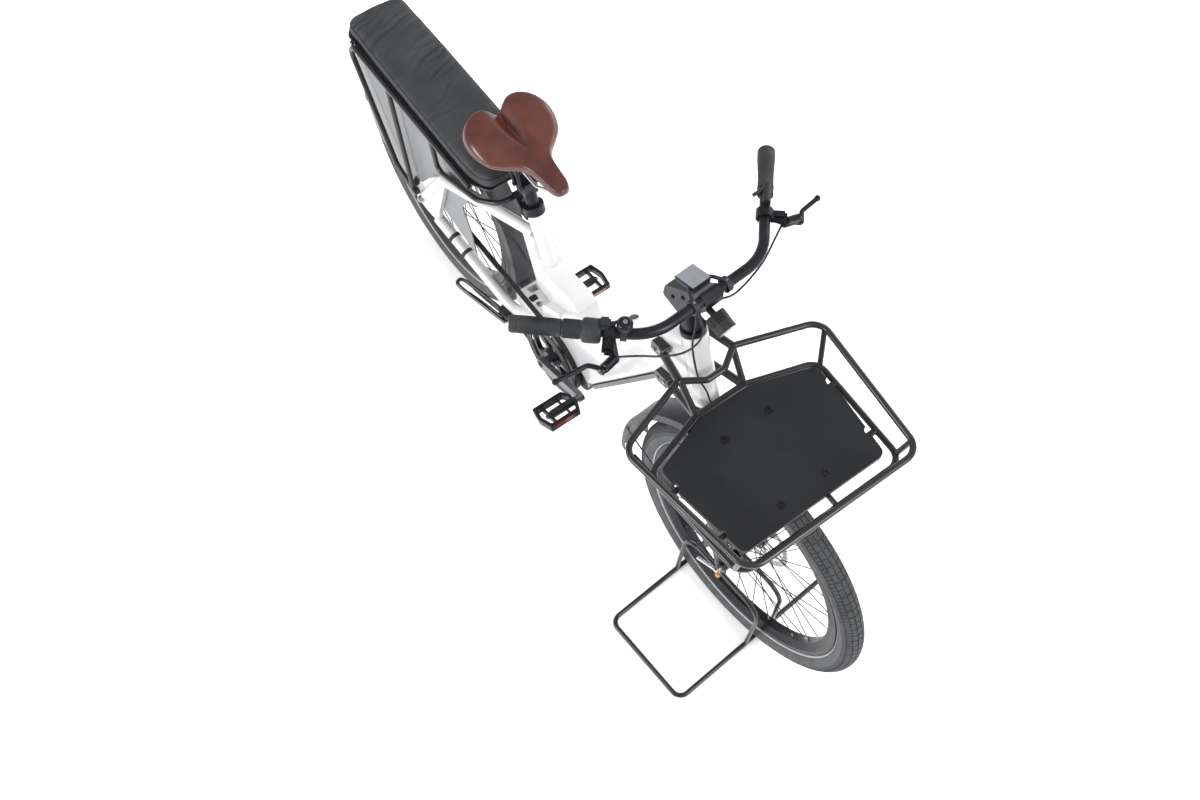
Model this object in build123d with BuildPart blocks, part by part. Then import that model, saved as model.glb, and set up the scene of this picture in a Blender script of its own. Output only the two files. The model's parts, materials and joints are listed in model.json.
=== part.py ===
from build123d import *
from math import atan2, cos, radians, sin, sqrt
import os

# A long-tail electric bicycle on a wheel stand. Millimetres, +X forward, +Y left, +Z up, floor at Z = 0.
# While it is built, X = 0 is just in front of the bottom bracket; the finished pieces are moved so that
# the origin is the middle of the footprint on the floor.

# ---- overall sizes ----
WHEEL_RADIUS = 352.0  # 27.5 x 2.3 inch tyre
TYRE_WIDTH = 58.0
BOTTOM_BRACKET_HEIGHT = 314.0
BOTTOM_BRACKET_PLACE = -9.0
REAR_AXLE_PLACE = -576.0
FRONT_AXLE_PLACE = 670.0
HEAD_ANGLE = 68.5
FORK_OFFSET = 50.0
STEERING_REST = 4.2  # the front wheel and bars stand turned to the left by this angle
CLEARANCE = 0.3  # between pieces that only touch
RUNNING_FIT = 0.05  # radial, at shafts and bearings

# ---- wheels ----
TYRE_HEIGHT = 61.0
BEAD_RADIUS = WHEEL_RADIUS - TYRE_HEIGHT
FLANGE_RADIUS = BEAD_RADIUS + 5.5
RIM_DEPTH = 30.0
RIM_WIDTH = 38.0
RIM_INNER_WIDTH = 32.0
RIM_APEX_WIDTH = 22.0
SPOKE_RADIUS = 1.1
SPOKES_PER_SIDE = 16
SPOKE_SWEEP = 40.0  # degrees between a spoke's two ends, seen from the side
FRONT_FLANGE_RADIUS = 27.0
FRONT_FLANGE_OFFSET = 29.0
FRONT_HUB_HALF_WIDTH = 49.0
REAR_FLANGE_RADIUS = 46.0
REAR_FLANGE_OFFSET = 27.0
REAR_HUB_HALF_WIDTH = 64.0
AXLE_RADIUS = 6.0
DISC_RADIUS = 90.0
DISC_THICKNESS = 1.8
DISC_OFFSET = 41.0

# ---- frame ----
HEAD_TUBE_LENGTH = 194.0
HEAD_TUBE_RADIUS = 29.0
HEAD_TUBE_BORE = 16.0
HEAD_TUBE_BOTTOM = 760.0  # height of its lower end
BEAM_WIDTH = 96.0
BEAM_EDGE = 20.0
SEAT_TUBE_RADIUS = 19.5
SEAT_TUBE_ANGLE = 66.8
SEAT_TUBE_TOP = 716.0
SEATPOST_RADIUS = 15.8
STAY_RADIUS = 14.5
CHAINSTAY_RADIUS = 15.0
DROPOUT_INNER = 67.5
DROPOUT_THICKNESS = 12.0

# ---- fork ----
CROWN_OFFSET = 40.0
LEG_SPACING = 65.0
LOWER_RADIUS = 19.0
STANCHION_RADIUS = 15.0
STEERER_RADIUS = 14.3

# ---- cranks and belt ----
CRANK_LENGTH = 170.0
CRANK_ANGLE = 22.9
CRANK_INNER = 86.0
CRANK_THICKNESS = 14.0
PULLEY_RADIUS = 96.0
SPROCKET_RADIUS = 42.0
BELT_OFFSET = 54.0
BELT_WIDTH = 12.0
BELT_THICKNESS = 4.0
PEDAL_OFFSET = 162.0
PEDAL_WIDTH = 82.0
PEDAL_LENGTH = 86.0
PEDAL_HEIGHT = 20.0

# ---- places that follow ----
rear_hub = Vector(REAR_AXLE_PLACE, 0, WHEEL_RADIUS)
front_hub = Vector(FRONT_AXLE_PLACE, 0, WHEEL_RADIUS)
bottom_bracket = Vector(BOTTOM_BRACKET_PLACE, 0, BOTTOM_BRACKET_HEIGHT)
up_head = Vector(-cos(radians(HEAD_ANGLE)), 0, sin(radians(HEAD_ANGLE)))
ahead = Vector(sin(radians(HEAD_ANGLE)), 0, cos(radians(HEAD_ANGLE)))
head_foot = front_hub - ahead * FORK_OFFSET  # the point of the steering axis nearest the axle
head_bottom = head_foot + up_head * ((HEAD_TUBE_BOTTOM - head_foot.Z) / up_head.Z)
head_top = head_bottom + up_head * HEAD_TUBE_LENGTH
head_axis = Axis(head_bottom, up_head)
up_seat = Vector(-cos(radians(SEAT_TUBE_ANGLE)), 0, sin(radians(SEAT_TUBE_ANGLE)))
seat_foot = Vector(0, 0, BOTTOM_BRACKET_HEIGHT)
seat_top = seat_foot + up_seat * ((SEAT_TUBE_TOP - BOTTOM_BRACKET_HEIGHT) / up_seat.Z)


def on_head(distance, forward=0.0, left=0.0):
    """A point by its distance up the steering axis from the head tube's lower end."""
    return head_bottom + up_head * distance + ahead * forward + Vector(0, left, 0)


def on_seat(distance):
    """A point by its distance up the seat tube's axis from its top."""
    return seat_top + up_seat * distance


def side(sign, points):
    """The points with Y on the left (1) or on the right (-1)."""
    return [Vector(p[0], p[1] * sign, p[2]) for p in points]


def tube(points, bends, radius, mode=Mode.ADD):
    """Add a round tube: straight runs joined by arcs."""
    with BuildLine() as path:
        if len(points) == 2:
            Line(*points)
        else:
            FilletPolyline(*points, radius=bends)
    with BuildSketch(Plane(origin=path.line @ 0, z_dir=path.line % 0)) as section:
        Circle(radius)
    sweep(section.sketch, path=path.line, mode=mode)


def closed_tube(points, bends, radius):
    """Add a closed ring of round tube."""
    with BuildLine() as path:
        FilletPolyline(*points, radius=bends, close=True)
    with BuildSketch(Plane(origin=path.line @ 0, z_dir=path.line % 0)) as section:
        Circle(radius)
    sweep(section.sketch, path=path.line)


def cord(points, radius):
    """Add a cable: short straight runs with the widest arcs that fit between them."""
    bends = []
    for before, corner, after in zip(points, points[1:], points[2:]):
        first = Vector(*corner) - Vector(*before)
        second = Vector(*after) - Vector(*corner)
        half_turn = radians(first.get_angle(second)) / 2
        bends.append(0.45 * min(first.length, second.length) * cos(half_turn) / sin(half_turn))
    tube(points, bends, radius)


def rod(start, end, radius, mode=Mode.ADD):
    """Add a straight round bar between two points."""
    start = Vector(*start)
    end = Vector(*end)
    with BuildSketch(Plane(origin=start, z_dir=end - start)) as section:
        Circle(radius)
    extrude(section.sketch, amount=(end - start).length, mode=mode)


def ring(hub, profile, mode=Mode.ADD):
    """Add a body of revolution about a wheel's axle; the profile holds (Y, radius) points."""
    with BuildSketch(Plane(origin=hub, x_dir=(0, 1, 0), z_dir=(1, 0, 0))) as section:
        with BuildLine():
            Polyline(*profile, close=True)
        make_face()
    revolve(section.sketch, Axis(hub, (0, 1, 0)), mode=mode)


def mudguard(hub, inner, width, start, end):
    """Add a mudguard: a shallow channel round a centre, between two angles from straight ahead."""
    half = width / 2
    outer = inner + GUARD_THICKNESS
    channel = [(-half, inner - 13), (-half + 2, inner - 13), (-half + 6, inner), (half - 6, inner),
               (half - 2, inner - 13), (half, inner - 13), (half - 4, outer), (-half + 4, outer)]
    turn = radians(start)
    with BuildSketch(Plane(origin=hub, x_dir=(0, 1, 0), z_dir=(sin(turn), 0, -cos(turn)))) as section:
        with BuildLine():
            Polyline(*channel, close=True)
        make_face()
    revolve(section.sketch, Axis(hub, (0, -1, 0)), end - start)


def slab(outline, low, high, mode=Mode.ADD, corners=0.0):
    """Add a plate: an outline in X and Z between two values of Y."""
    with BuildSketch(Plane(origin=(0, low, 0), x_dir=(1, 0, 0), z_dir=(0, -1, 0))) as section:
        with BuildLine():
            if corners:
                FilletPolyline(*outline, radius=corners, close=True)
            else:
                Polyline(*outline, close=True)
        make_face()
    extrude(section.sketch, amount=low - high, mode=mode)


def plate(outline, low, high, mode=Mode.ADD, corners=0.0):
    """Add a level plate: an outline in X and Y between two heights."""
    with BuildSketch(Plane.XY.offset(low)) as section:
        with BuildLine():
            if corners:
                FilletPolyline(*outline, radius=corners, close=True)
            else:
                Polyline(*outline, close=True)
        make_face()
    extrude(section.sketch, amount=high - low, mode=mode)


def rounded_section(low, high, width, corner):
    """A rounded rectangle across the beam, between two (X, Z) points."""
    low = Vector(low[0], 0, low[1])
    high = Vector(high[0], 0, high[1])
    up = high - low
    across = Plane(origin=(low + high) / 2, x_dir=(0, 1, 0), z_dir=(up.Z, 0, -up.X))
    with BuildSketch(across) as section:
        RectangleRounded(width, up.length, corner)
    return section.sketch


# ================= wheels =================


def make_tyre(hub):
    """The tyre's casing: bead, sidewalls and crown, without its tread blocks."""
    middle = WHEEL_RADIUS - TYRE_WIDTH / 2
    bead = RIM_INNER_WIDTH / 2 - CLEARANCE
    half = TYRE_WIDTH / 2
    low = BEAD_RADIUS + CLEARANCE
    neck = FLANGE_RADIUS + 1.0
    with BuildSketch(Plane(origin=hub, x_dir=(0, 1, 0), z_dir=(1, 0, 0))) as section:
        with BuildLine():
            Polyline((-bead, neck), (-bead, low), (bead, low), (bead, neck))
            ThreePointArc((bead, neck), (half * 0.86, (neck + middle) / 2 - 1), (half, middle))
            ThreePointArc((half, middle), (0, WHEEL_RADIUS), (-half, middle))
            ThreePointArc((-half, middle), (-half * 0.86, (neck + middle) / 2 - 1), (-bead, neck))
        make_face()
    revolve(section.sketch, Axis(hub, (0, 1, 0)))


def make_rim(hub):
    """A deep double-wall rim."""
    outer = RIM_WIDTH / 2
    inner = RIM_INNER_WIDTH / 2
    apex = RIM_APEX_WIDTH / 2
    low = FLANGE_RADIUS - RIM_DEPTH
    wall = FLANGE_RADIUS - 9
    ring(hub, [(-outer, FLANGE_RADIUS), (-inner, FLANGE_RADIUS), (-inner, BEAD_RADIUS), (inner, BEAD_RADIUS),
               (inner, FLANGE_RADIUS), (outer, FLANGE_RADIUS), (outer, wall), (apex, low), (-apex, low),
               (-outer, wall)])


def make_spokes(hub, flange_radius, flange_offset):
    """Crossed spokes from both flanges to the rim."""
    rim_end = FLANGE_RADIUS - RIM_DEPTH - 0.4
    step = 360 / SPOKES_PER_SIDE
    for left in (1, -1):
        for number in range(SPOKES_PER_SIDE):
            lean = 1 if number % 2 else -1
            start = radians(number * step + (step / 2 if left > 0 else 0))
            end = start + radians(SPOKE_SWEEP) * lean
            reach = flange_radius + 1.6
            height = left * (flange_offset + 2.2 * lean)
            rod(hub + Vector(reach * cos(start), height, reach * sin(start)),
                hub + Vector(rim_end * cos(end), left * 3.0, rim_end * sin(end)), SPOKE_RADIUS)


with BuildPart() as front_tyre:
    make_tyre(front_hub)

with BuildPart() as rear_tyre:
    make_tyre(rear_hub)

with BuildPart() as front_rim:
    make_rim(front_hub)

with BuildPart() as rear_rim:
    make_rim(rear_hub)

with BuildPart() as front_spokes:
    make_spokes(front_hub, FRONT_FLANGE_RADIUS, FRONT_FLANGE_OFFSET)

with BuildPart() as rear_spokes:
    make_spokes(rear_hub, REAR_FLANGE_RADIUS, REAR_FLANGE_OFFSET)

axle_bore = AXLE_RADIUS + RUNNING_FIT

with BuildPart() as front_wheel_hub:
    flange = FRONT_FLANGE_OFFSET
    end = FRONT_HUB_HALF_WIDTH
    wide = FRONT_FLANGE_RADIUS
    ring(front_hub, [(-end, axle_bore), (-end, 10), (-flange - 4, 13), (-flange - 4, wide), (-flange + 4, wide),
                     (-flange + 6, 14), (flange - 6, 14), (flange - 4, wide), (flange + 4, wide),
                     (flange + 4, 17), (DISC_OFFSET, 17), (DISC_OFFSET, 12), (end, 12), (end, axle_bore)])

with BuildPart() as rear_wheel_hub:
    flange = REAR_FLANGE_OFFSET
    end = REAR_HUB_HALF_WIDTH
    wide = REAR_FLANGE_RADIUS
    belt_side = BELT_OFFSET - BELT_WIDTH / 2 - 2
    ring(rear_hub, [(-end, axle_bore), (-end, 12), (-belt_side - 1, 14), (-belt_side, 26), (-flange - 4, 34),
                    (-flange - 4, wide), (-flange + 4, wide), (-flange + 7, 38), (flange - 7, 38),
                    (flange - 4, wide), (flange + 4, wide), (flange + 6, 24), (DISC_OFFSET, 20),
                    (DISC_OFFSET, 13), (end, 13), (end, axle_bore)])


def make_disc(hub, bore):
    """A brake disc: a slotted ring on six arms."""
    flat = Plane(origin=hub + Vector(0, DISC_OFFSET + CLEARANCE, 0), x_dir=(1, 0, 0), z_dir=(0, 1, 0))
    with BuildSketch(flat) as section:
        Circle(DISC_RADIUS)
        Circle(DISC_RADIUS - 16, mode=Mode.SUBTRACT)
        with PolarLocations((DISC_RADIUS + 24) / 2 - 4, 6):
            Rectangle(DISC_RADIUS - 26, 9)
        Circle(27)
        Circle(bore, mode=Mode.SUBTRACT)
    extrude(section.sketch, amount=DISC_THICKNESS)


with BuildPart() as front_disc:
    make_disc(front_hub, 12 + RUNNING_FIT)

with BuildPart() as rear_disc:
    make_disc(rear_hub, 13 + RUNNING_FIT)

# ================= belt drive =================

belt_low = -BELT_OFFSET - BELT_WIDTH / 2
belt_high = -BELT_OFFSET + BELT_WIDTH / 2

with BuildPart() as rear_sprocket:
    with BuildSketch(Plane(origin=rear_hub + Vector(0, belt_low, 0), x_dir=(1, 0, 0), z_dir=(0, 1, 0))) as toothed:
        Circle(SPROCKET_RADIUS - CLEARANCE)
        Circle(14.5, mode=Mode.SUBTRACT)
        with PolarLocations(26, 6):
            Circle(6, mode=Mode.SUBTRACT)
    extrude(toothed.sketch, amount=BELT_WIDTH)

with BuildPart() as belt:
    reach = bottom_bracket.X - rear_hub.X
    drop = WHEEL_RADIUS - BOTTOM_BRACKET_HEIGHT
    with BuildSketch(Plane(origin=(0, belt_low, 0), x_dir=(1, 0, 0), z_dir=(0, -1, 0))) as run:
        for grow, how in ((BELT_THICKNESS, Mode.ADD), (0, Mode.SUBTRACT)):
            span = sqrt(reach**2 + drop**2)
            slope = atan2(drop, -reach)
            lean = (PULLEY_RADIUS - SPROCKET_RADIUS) / span
            corners = []
            for sign in (1, -1):
                # the straight runs touch both pulleys where their normals lean by the same angle
                normal = slope - sign * (radians(90) - atan2(lean, sqrt(1 - lean**2)))
                across = Vector(cos(normal), sin(normal))
                front = Vector(bottom_bracket.X, BOTTOM_BRACKET_HEIGHT) + across * (PULLEY_RADIUS + grow)
                back = Vector(rear_hub.X, WHEEL_RADIUS) + across * (SPROCKET_RADIUS + grow)
                corners.append((front, back))
            front_far = Vector(bottom_bracket.X + PULLEY_RADIUS + grow, BOTTOM_BRACKET_HEIGHT)
            back_far = Vector(rear_hub.X - SPROCKET_RADIUS - grow, WHEEL_RADIUS)
            with BuildLine() as loop:
                Line(corners[0][0], corners[0][1])
                ThreePointArc(corners[0][1], back_far, corners[1][1])
                Line(corners[1][1], corners[1][0])
                ThreePointArc(corners[1][0], front_far, corners[0][0])
            make_face(loop.line.edges(), mode=how)
    extrude(run.sketch, amount=-BELT_WIDTH)

crank_turn = Vector(cos(radians(CRANK_ANGLE)), 0, sin(radians(CRANK_ANGLE)))
right_pedal_centre = bottom_bracket + crank_turn * CRANK_LENGTH - Vector(0, PEDAL_OFFSET, 0)
left_pedal_centre = bottom_bracket - crank_turn * CRANK_LENGTH + Vector(0, PEDAL_OFFSET, 0)
SPINDLE_RADIUS = 11.0
PEDAL_AXLE_RADIUS = 5.0


def crank_arm(sign):
    """One crank arm, its spindle boss and the pedal's axle."""
    tip = bottom_bracket - crank_turn * (sign * CRANK_LENGTH)
    inner = sign * CRANK_INNER
    flat = Plane(origin=(0, inner, 0), x_dir=(1, 0, 0), z_dir=(0, sign, 0))
    with BuildSketch(flat) as arm:
        root = flat.to_local_coords(bottom_bracket)
        end = flat.to_local_coords(tip)
        with BuildLine():
            along = Vector(end.X - root.X, end.Y - root.Y).normalized()
            across = Vector(-along.Y, along.X)
            foot = Vector(root.X, root.Y)
            toe = Vector(end.X, end.Y)
            Line(foot + across * 17, toe + across * 12)
            ThreePointArc(toe + across * 12, toe + along * 12, toe - across * 12)
            Line(toe - across * 12, foot - across * 17)
            ThreePointArc(foot - across * 17, foot - along * 17, foot + across * 17)
        make_face()
    extrude(arm.sketch, amount=CRANK_THICKNESS)
    rod(tip + Vector(0, sign * CRANK_INNER, 0),
        tip + Vector(0, sign * (PEDAL_OFFSET + PEDAL_WIDTH / 2 - 12), 0), PEDAL_AXLE_RADIUS)
    rod(tip + Vector(0, sign * (CRANK_INNER + CRANK_THICKNESS), 0),
        tip + Vector(0, sign * (CRANK_INNER + CRANK_THICKNESS + 7), 0), 8.5)


with BuildPart() as crankset:
    crank_arm(-1)
    crank_arm(1)
    rod(bottom_bracket - Vector(0, CRANK_INNER + 4, 0), bottom_bracket + Vector(0, CRANK_INNER + 4, 0),
        SPINDLE_RADIUS)

with BuildPart() as front_pulley:
    with BuildSketch(Plane(origin=(0, belt_low, 0), x_dir=(1, 0, 0), z_dir=(0, -1, 0))) as wheel:
        with Locations((BOTTOM_BRACKET_PLACE, BOTTOM_BRACKET_HEIGHT)):
            Circle(PULLEY_RADIUS - CLEARANCE)
            Circle(PULLEY_RADIUS - 12, mode=Mode.SUBTRACT)
            with PolarLocations(PULLEY_RADIUS / 2 - 2, 5, start_angle=12):
                Rectangle(PULLEY_RADIUS - 14, 22)
            Circle(30)
            Circle(SPINDLE_RADIUS + RUNNING_FIT, mode=Mode.SUBTRACT)
    extrude(wheel.sketch, amount=-BELT_WIDTH)
    ring(bottom_bracket, [(belt_low - 14, SPINDLE_RADIUS + RUNNING_FIT), (belt_low - 14, 22), (belt_low, 28),
                          (belt_low, SPINDLE_RADIUS + RUNNING_FIT)])


def make_pedal(centre, sign, tilt):
    """A platform pedal: a cage with two straight plates and a pointed nose, and a barrel on the axle."""
    turn = radians(tilt)
    flat = Plane(origin=centre, x_dir=(cos(turn), 0, sin(turn)), z_dir=(-sin(turn), 0, cos(turn)))
    half = PEDAL_LENGTH / 2
    wide = PEDAL_WIDTH / 2
    outline = [(-half, wide), (0, wide + 8), (half, wide), (half, -wide), (17, -wide - 12), (-17, -wide - 12),
               (-half, -wide)]
    slot = [(half - 13, -wide + 6), (half - 13, wide - 18), (14, wide - 24), (14, -wide + 2)]
    nose = [(-half + 16, wide - 9), (0, wide - 1), (half - 16, wide - 9), (12, wide - 20), (-12, wide - 20)]
    with BuildSketch(flat.offset(-PEDAL_HEIGHT / 2)) as cage:
        with BuildLine():
            Polyline(*[(x, sign * y) for x, y in outline], close=True)
        make_face()
        for window in (slot, [(-x, y) for x, y in slot], nose):
            with BuildLine():
                Polyline(*[(x, sign * y) for x, y in window], close=True)
            make_face(mode=Mode.SUBTRACT)
    extrude(cage.sketch, amount=PEDAL_HEIGHT)
    inner = centre - Vector(0, sign * (wide + 30), 0)
    rod(inner, centre + Vector(0, sign * (wide - 11.5), 0), PEDAL_AXLE_RADIUS + RUNNING_FIT, mode=Mode.SUBTRACT)


with BuildPart() as right_pedal:
    make_pedal(right_pedal_centre, -1, 24)

with BuildPart() as left_pedal:
    make_pedal(left_pedal_centre, 1, 9)

# ================= frame =================

SWOOP_OUTLINE = [(-190, 650), (-142, 640), (-104, 560), (20, 578), (52, 560), (-20, 470), (-120, 470)]
STAY_ROUTE = [(-158, 12, 640), (-262, 56, 652), (-436, 84, 590), (-556, DROPOUT_INNER + 8, 392)]
CHAINSTAY_ROUTE = [(-120, 22, 322), (-196, 53, 280), (-508, DROPOUT_INNER + 6, 338)]
MOTOR_CENTRE = (18, 318)
MOTOR_RADIUS = 66.0
MOTOR_HALF_WIDTH = 44.0

BEAM_FOOT_LOW = (124, 341)
BEAM_MIDDLE_LOW = (341, 738)

with BuildPart() as frame:
    # one deep beam carries the battery from the bottom bracket to the head tube
    beam_foot = rounded_section(BEAM_FOOT_LOW, (-8, 507), BEAM_WIDTH, BEAM_EDGE)
    beam_middle = rounded_section(BEAM_MIDDLE_LOW, (262, 806), BEAM_WIDTH - 4, BEAM_EDGE)
    beam_neck = rounded_section((400, 762), (345, 905), 74, BEAM_EDGE)
    beam_head = rounded_section((447, 770), (390, 930), 50, 14)
    loft([beam_foot, beam_middle, beam_neck, beam_head], ruled=True)
    slab([(126, 345), (-6, 510), (-50, 484), (-70, 470), (-82, 392), (60, 384), (110, 326)],
         -BEAM_WIDTH / 2, BEAM_WIDTH / 2, corners=[0, 0, 0, 14, 14, 20, 6])
    # the seat tube flows forward into the beam
    slab(SWOOP_OUTLINE, -27, 27, corners=[10, 30, 60, 20, 10, 10, 20])
    rod(on_seat(0), on_seat(-330), SEAT_TUBE_RADIUS)
    rod(on_head(0), on_head(HEAD_TUBE_LENGTH), HEAD_TUBE_RADIUS)
    # the yoke behind the motor joins both chainstays
    slab([(-204, 300), (-204, 342), (-150, 372), (-40, 392), (-40, 340), (-120, 296)], -37, 37, corners=4)
    for sign in (1, -1):
        tube(side(sign, STAY_ROUTE), [55, 70], STAY_RADIUS)
        tube(side(sign, CHAINSTAY_ROUTE), [60], CHAINSTAY_RADIUS)
        low = sign * DROPOUT_INNER
        high = sign * (DROPOUT_INNER + DROPOUT_THICKNESS)
        slab([(-470, 560), (-520, 500), (-604, 372), (-604, 330), (-560, 322), (-500, 330), (-488, 392),
              (-440, 556)], min(low, high), max(low, high), corners=8)
    # what fits inside or passes through
    rod(on_head(-20), on_head(HEAD_TUBE_LENGTH + 20), HEAD_TUBE_BORE, mode=Mode.SUBTRACT)
    rod(on_seat(-120), on_seat(5), SEATPOST_RADIUS + RUNNING_FIT, mode=Mode.SUBTRACT)
    rod(rear_hub - Vector(0, 90, 0), rear_hub + Vector(0, 90, 0), AXLE_RADIUS, mode=Mode.SUBTRACT)
    with BuildSketch(Plane(origin=(0, -80, 0), x_dir=(1, 0, 0), z_dir=(0, -1, 0))) as motor_bay:
        with Locations(MOTOR_CENTRE):
            Circle(MOTOR_RADIUS + CLEARANCE)
        with Locations((78, 330)):
            Circle(44 + CLEARANCE)
    extrude(motor_bay.sketch, amount=-160, mode=Mode.SUBTRACT)
    # cable window in the yoke
    plate([(-192, -15), (-166, -15), (-166, 15), (-192, 15)], 320, 400, mode=Mode.SUBTRACT, corners=2)

with BuildPart() as motor:
    with BuildSketch(Plane(origin=(0, -MOTOR_HALF_WIDTH, 0), x_dir=(1, 0, 0), z_dir=(0, -1, 0))) as housing:
        with Locations(MOTOR_CENTRE):
            Circle(MOTOR_RADIUS)
        with Locations((78, 330)):
            Circle(44)
    extrude(housing.sketch, amount=-2 * MOTOR_HALF_WIDTH)
    rod(bottom_bracket - Vector(0, 80, 0), bottom_bracket + Vector(0, 80, 0), SPINDLE_RADIUS + RUNNING_FIT,
        mode=Mode.SUBTRACT)

with BuildPart() as headset:
    bore = STEERER_RADIUS + RUNNING_FIT
    for low, high in ((-10, 0), (HEAD_TUBE_LENGTH, HEAD_TUBE_LENGTH + 11)):
        rod(on_head(low), on_head(high), HEAD_TUBE_RADIUS - 2)
    rod(on_head(0), on_head(12), HEAD_TUBE_BORE)
    rod(on_head(HEAD_TUBE_LENGTH - 12), on_head(HEAD_TUBE_LENGTH), HEAD_TUBE_BORE)
    rod(on_head(-20), on_head(HEAD_TUBE_LENGTH + 20), bore, mode=Mode.SUBTRACT)

with BuildPart() as battery_cover:
    # it closes the beam's lower face, where the battery goes in
    run = Vector(BEAM_MIDDLE_LOW[0] - BEAM_FOOT_LOW[0], BEAM_MIDDLE_LOW[1] - BEAM_FOOT_LOW[1])
    along = run.normalized()
    outward = Vector(along.Y, -along.X)
    corners = []
    for distance, out in ((4, CLEARANCE), (4, 11), (run.length - 16, 11), (run.length - 4, CLEARANCE)):
        point = Vector(*BEAM_FOOT_LOW) + along * distance + outward * out
        corners.append((point.X, point.Y))
    slab(corners, -40, 40)

with BuildPart() as rear_axle:
    rod(rear_hub - Vector(0, 92, 0), rear_hub + Vector(0, 92, 0), AXLE_RADIUS)
    for sign in (1, -1):
        rod(rear_hub + Vector(0, sign * 79.8, 0), rear_hub + Vector(0, sign * 88, 0), 10)

with BuildPart() as belt_guard:
    with BuildSketch(Plane(origin=(0, -72, 0), x_dir=(1, 0, 0), z_dir=(0, -1, 0))) as guard:
        with Locations((BOTTOM_BRACKET_PLACE, BOTTOM_BRACKET_HEIGHT)):
            Circle(PULLEY_RADIUS + 10)
            Circle(PULLEY_RADIUS - 16, mode=Mode.SUBTRACT)
    extrude(guard.sketch, amount=-3)
    # a tab and a stud hold it on the chainstay
    slab([(-104, 288), (-132, 294), (-132, 308), (-104, 312)], -72, -69)
    rod((-124, -70, 301), (-152, -44, 303), 4)
    tube(side(-1, CHAINSTAY_ROUTE), [60], CHAINSTAY_RADIUS + CLEARANCE, mode=Mode.SUBTRACT)

# ================= saddle and post =================

RAIL_SPREAD = 22.0

with BuildPart() as seat_clamp:
    rod(on_seat(-14), on_seat(8), SEAT_TUBE_RADIUS + 6)
    slab([(-208, 704), (-186, 696), (-178, 716), (-200, 724)], -9, 9, corners=2)
    rod(on_seat(-20), on_seat(0), SEAT_TUBE_RADIUS + RUNNING_FIT, mode=Mode.SUBTRACT)
    rod(on_seat(-20), on_seat(20), SEATPOST_RADIUS + RUNNING_FIT, mode=Mode.SUBTRACT)

with BuildPart() as seatpost:
    post_top = on_seat(52)
    rod(on_seat(-110), post_top, SEATPOST_RADIUS)
    # a lower block, two links each side and an upper head make the sprung parallelogram
    slab([(-214, 748), (-176, 752), (-180, 792), (-222, 786)], -17, 17, corners=6)
    for start, end in (((-188, 782), (-208, 836)), ((-212, 776), (-238, 834))):
        rod((start[0], -27, start[1]), (start[0], 27, start[1]), 5.5)
        rod((end[0], -27, end[1]), (end[0], 27, end[1]), 5.5)
        for sign in (1, -1):
            rod((start[0], sign * 22, start[1]), (end[0], sign * 22, end[1]), 4.5)
    slab([(-250, 824), (-194, 826), (-198, 867), (-238, 867)], -15, 15, corners=3)
    slab([(-236, 849), (-198, 849), (-198, 866), (-236, 866)], -29, 29, corners=3)
    for sign in (1, -1):
        rod((-260, sign * RAIL_SPREAD, 858), (-170, sign * RAIL_SPREAD, 858), 3.5 + RUNNING_FIT,
            mode=Mode.SUBTRACT)

with BuildPart() as saddle_rails:
    for sign in (1, -1):
        tube(side(sign, [(-88, 12, 879.5), (-128, RAIL_SPREAD, 858), (-268, RAIL_SPREAD, 858), (-308, 32, 872)]),
             [22, 22], 3.5)

with BuildPart() as saddle:
    plate([(-53, -24), (-53, 24), (-142, 33), (-205, 109), (-308, 109), (-332, 40), (-312, 0), (-332, -40),
           (-308, -109), (-205, -109), (-142, -33)], 850, 950, corners=[21, 21, 70, 42, 48, 24, 30, 24, 48, 42, 70])
    slab([(-345, 876), (-345, 925), (-262, 922), (-150, 906), (-40, 912), (-40, 886), (-120, 882), (-200, 876)],
         -150, 150, corners=[10, 10, 200, 200, 5, 5, 100, 100], mode=Mode.INTERSECT)

# ================= rear carrier =================

RAIL_HEIGHT = 710.0
RAIL_HALF_WIDTH = 87.0
CARRIER_TUBE = 7.0
GUARD_GAP = 8.0
GUARD_INNER = WHEEL_RADIUS + GUARD_GAP
GUARD_THICKNESS = 2.0
GUARD_WIDTH = 68.0
FRONT_GUARD_INNER = WHEEL_RADIUS + 28.3
FRONT_GUARD_WIDTH = 76.0
deck_bottom = RAIL_HEIGHT + CARRIER_TUBE + CLEARANCE
deck_top = deck_bottom + 4.5

with BuildPart() as rear_carrier:
    rail = RAIL_HALF_WIDTH
    for sign in (1, -1):
        tube(side(sign, [(-305, rail, RAIL_HEIGHT), (-852, rail, RAIL_HEIGHT), (-672, 90, 397), (-590, 90, 374)]),
             [32, 30], CARRIER_TUBE)
        rod((-660, sign * rail, RAIL_HEIGHT), (-598, sign * 90, 376), CARRIER_TUBE - 0.5)
        rod((-590, sign * 79.8, 374), (-590, sign * 96, 374), 10)
    tube([(-470, rail, 706), (-450, rail, 613), (-290, 80, 670), (-236, 50, 690), (-236, -50, 690),
          (-290, -80, 670), (-450, -rail, 613), (-470, -rail, 706)], [22, 60, 40, 40, 60, 22], CARRIER_TUBE - 0.5)
    for station in (-312, -702, -826):
        rod((station, -rail, RAIL_HEIGHT), (station, rail, RAIL_HEIGHT), CARRIER_TUBE - 0.5)
    slab([(-243, 680), (-243, 698), (-222, 698), (-200, 682), (-180, 676), (-180, 662), (-205, 662)], -14, 14)
    rod(on_seat(-80), on_seat(0), SEAT_TUBE_RADIUS + CLEARANCE, mode=Mode.SUBTRACT)

with BuildPart() as carrier_deck:
    plate([(-868, -62), (-868, 62), (-840, 84), (-300, 84), (-262, 60), (-262, -60), (-300, -84), (-840, -84)],
          deck_bottom, deck_top, corners=14)

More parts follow.
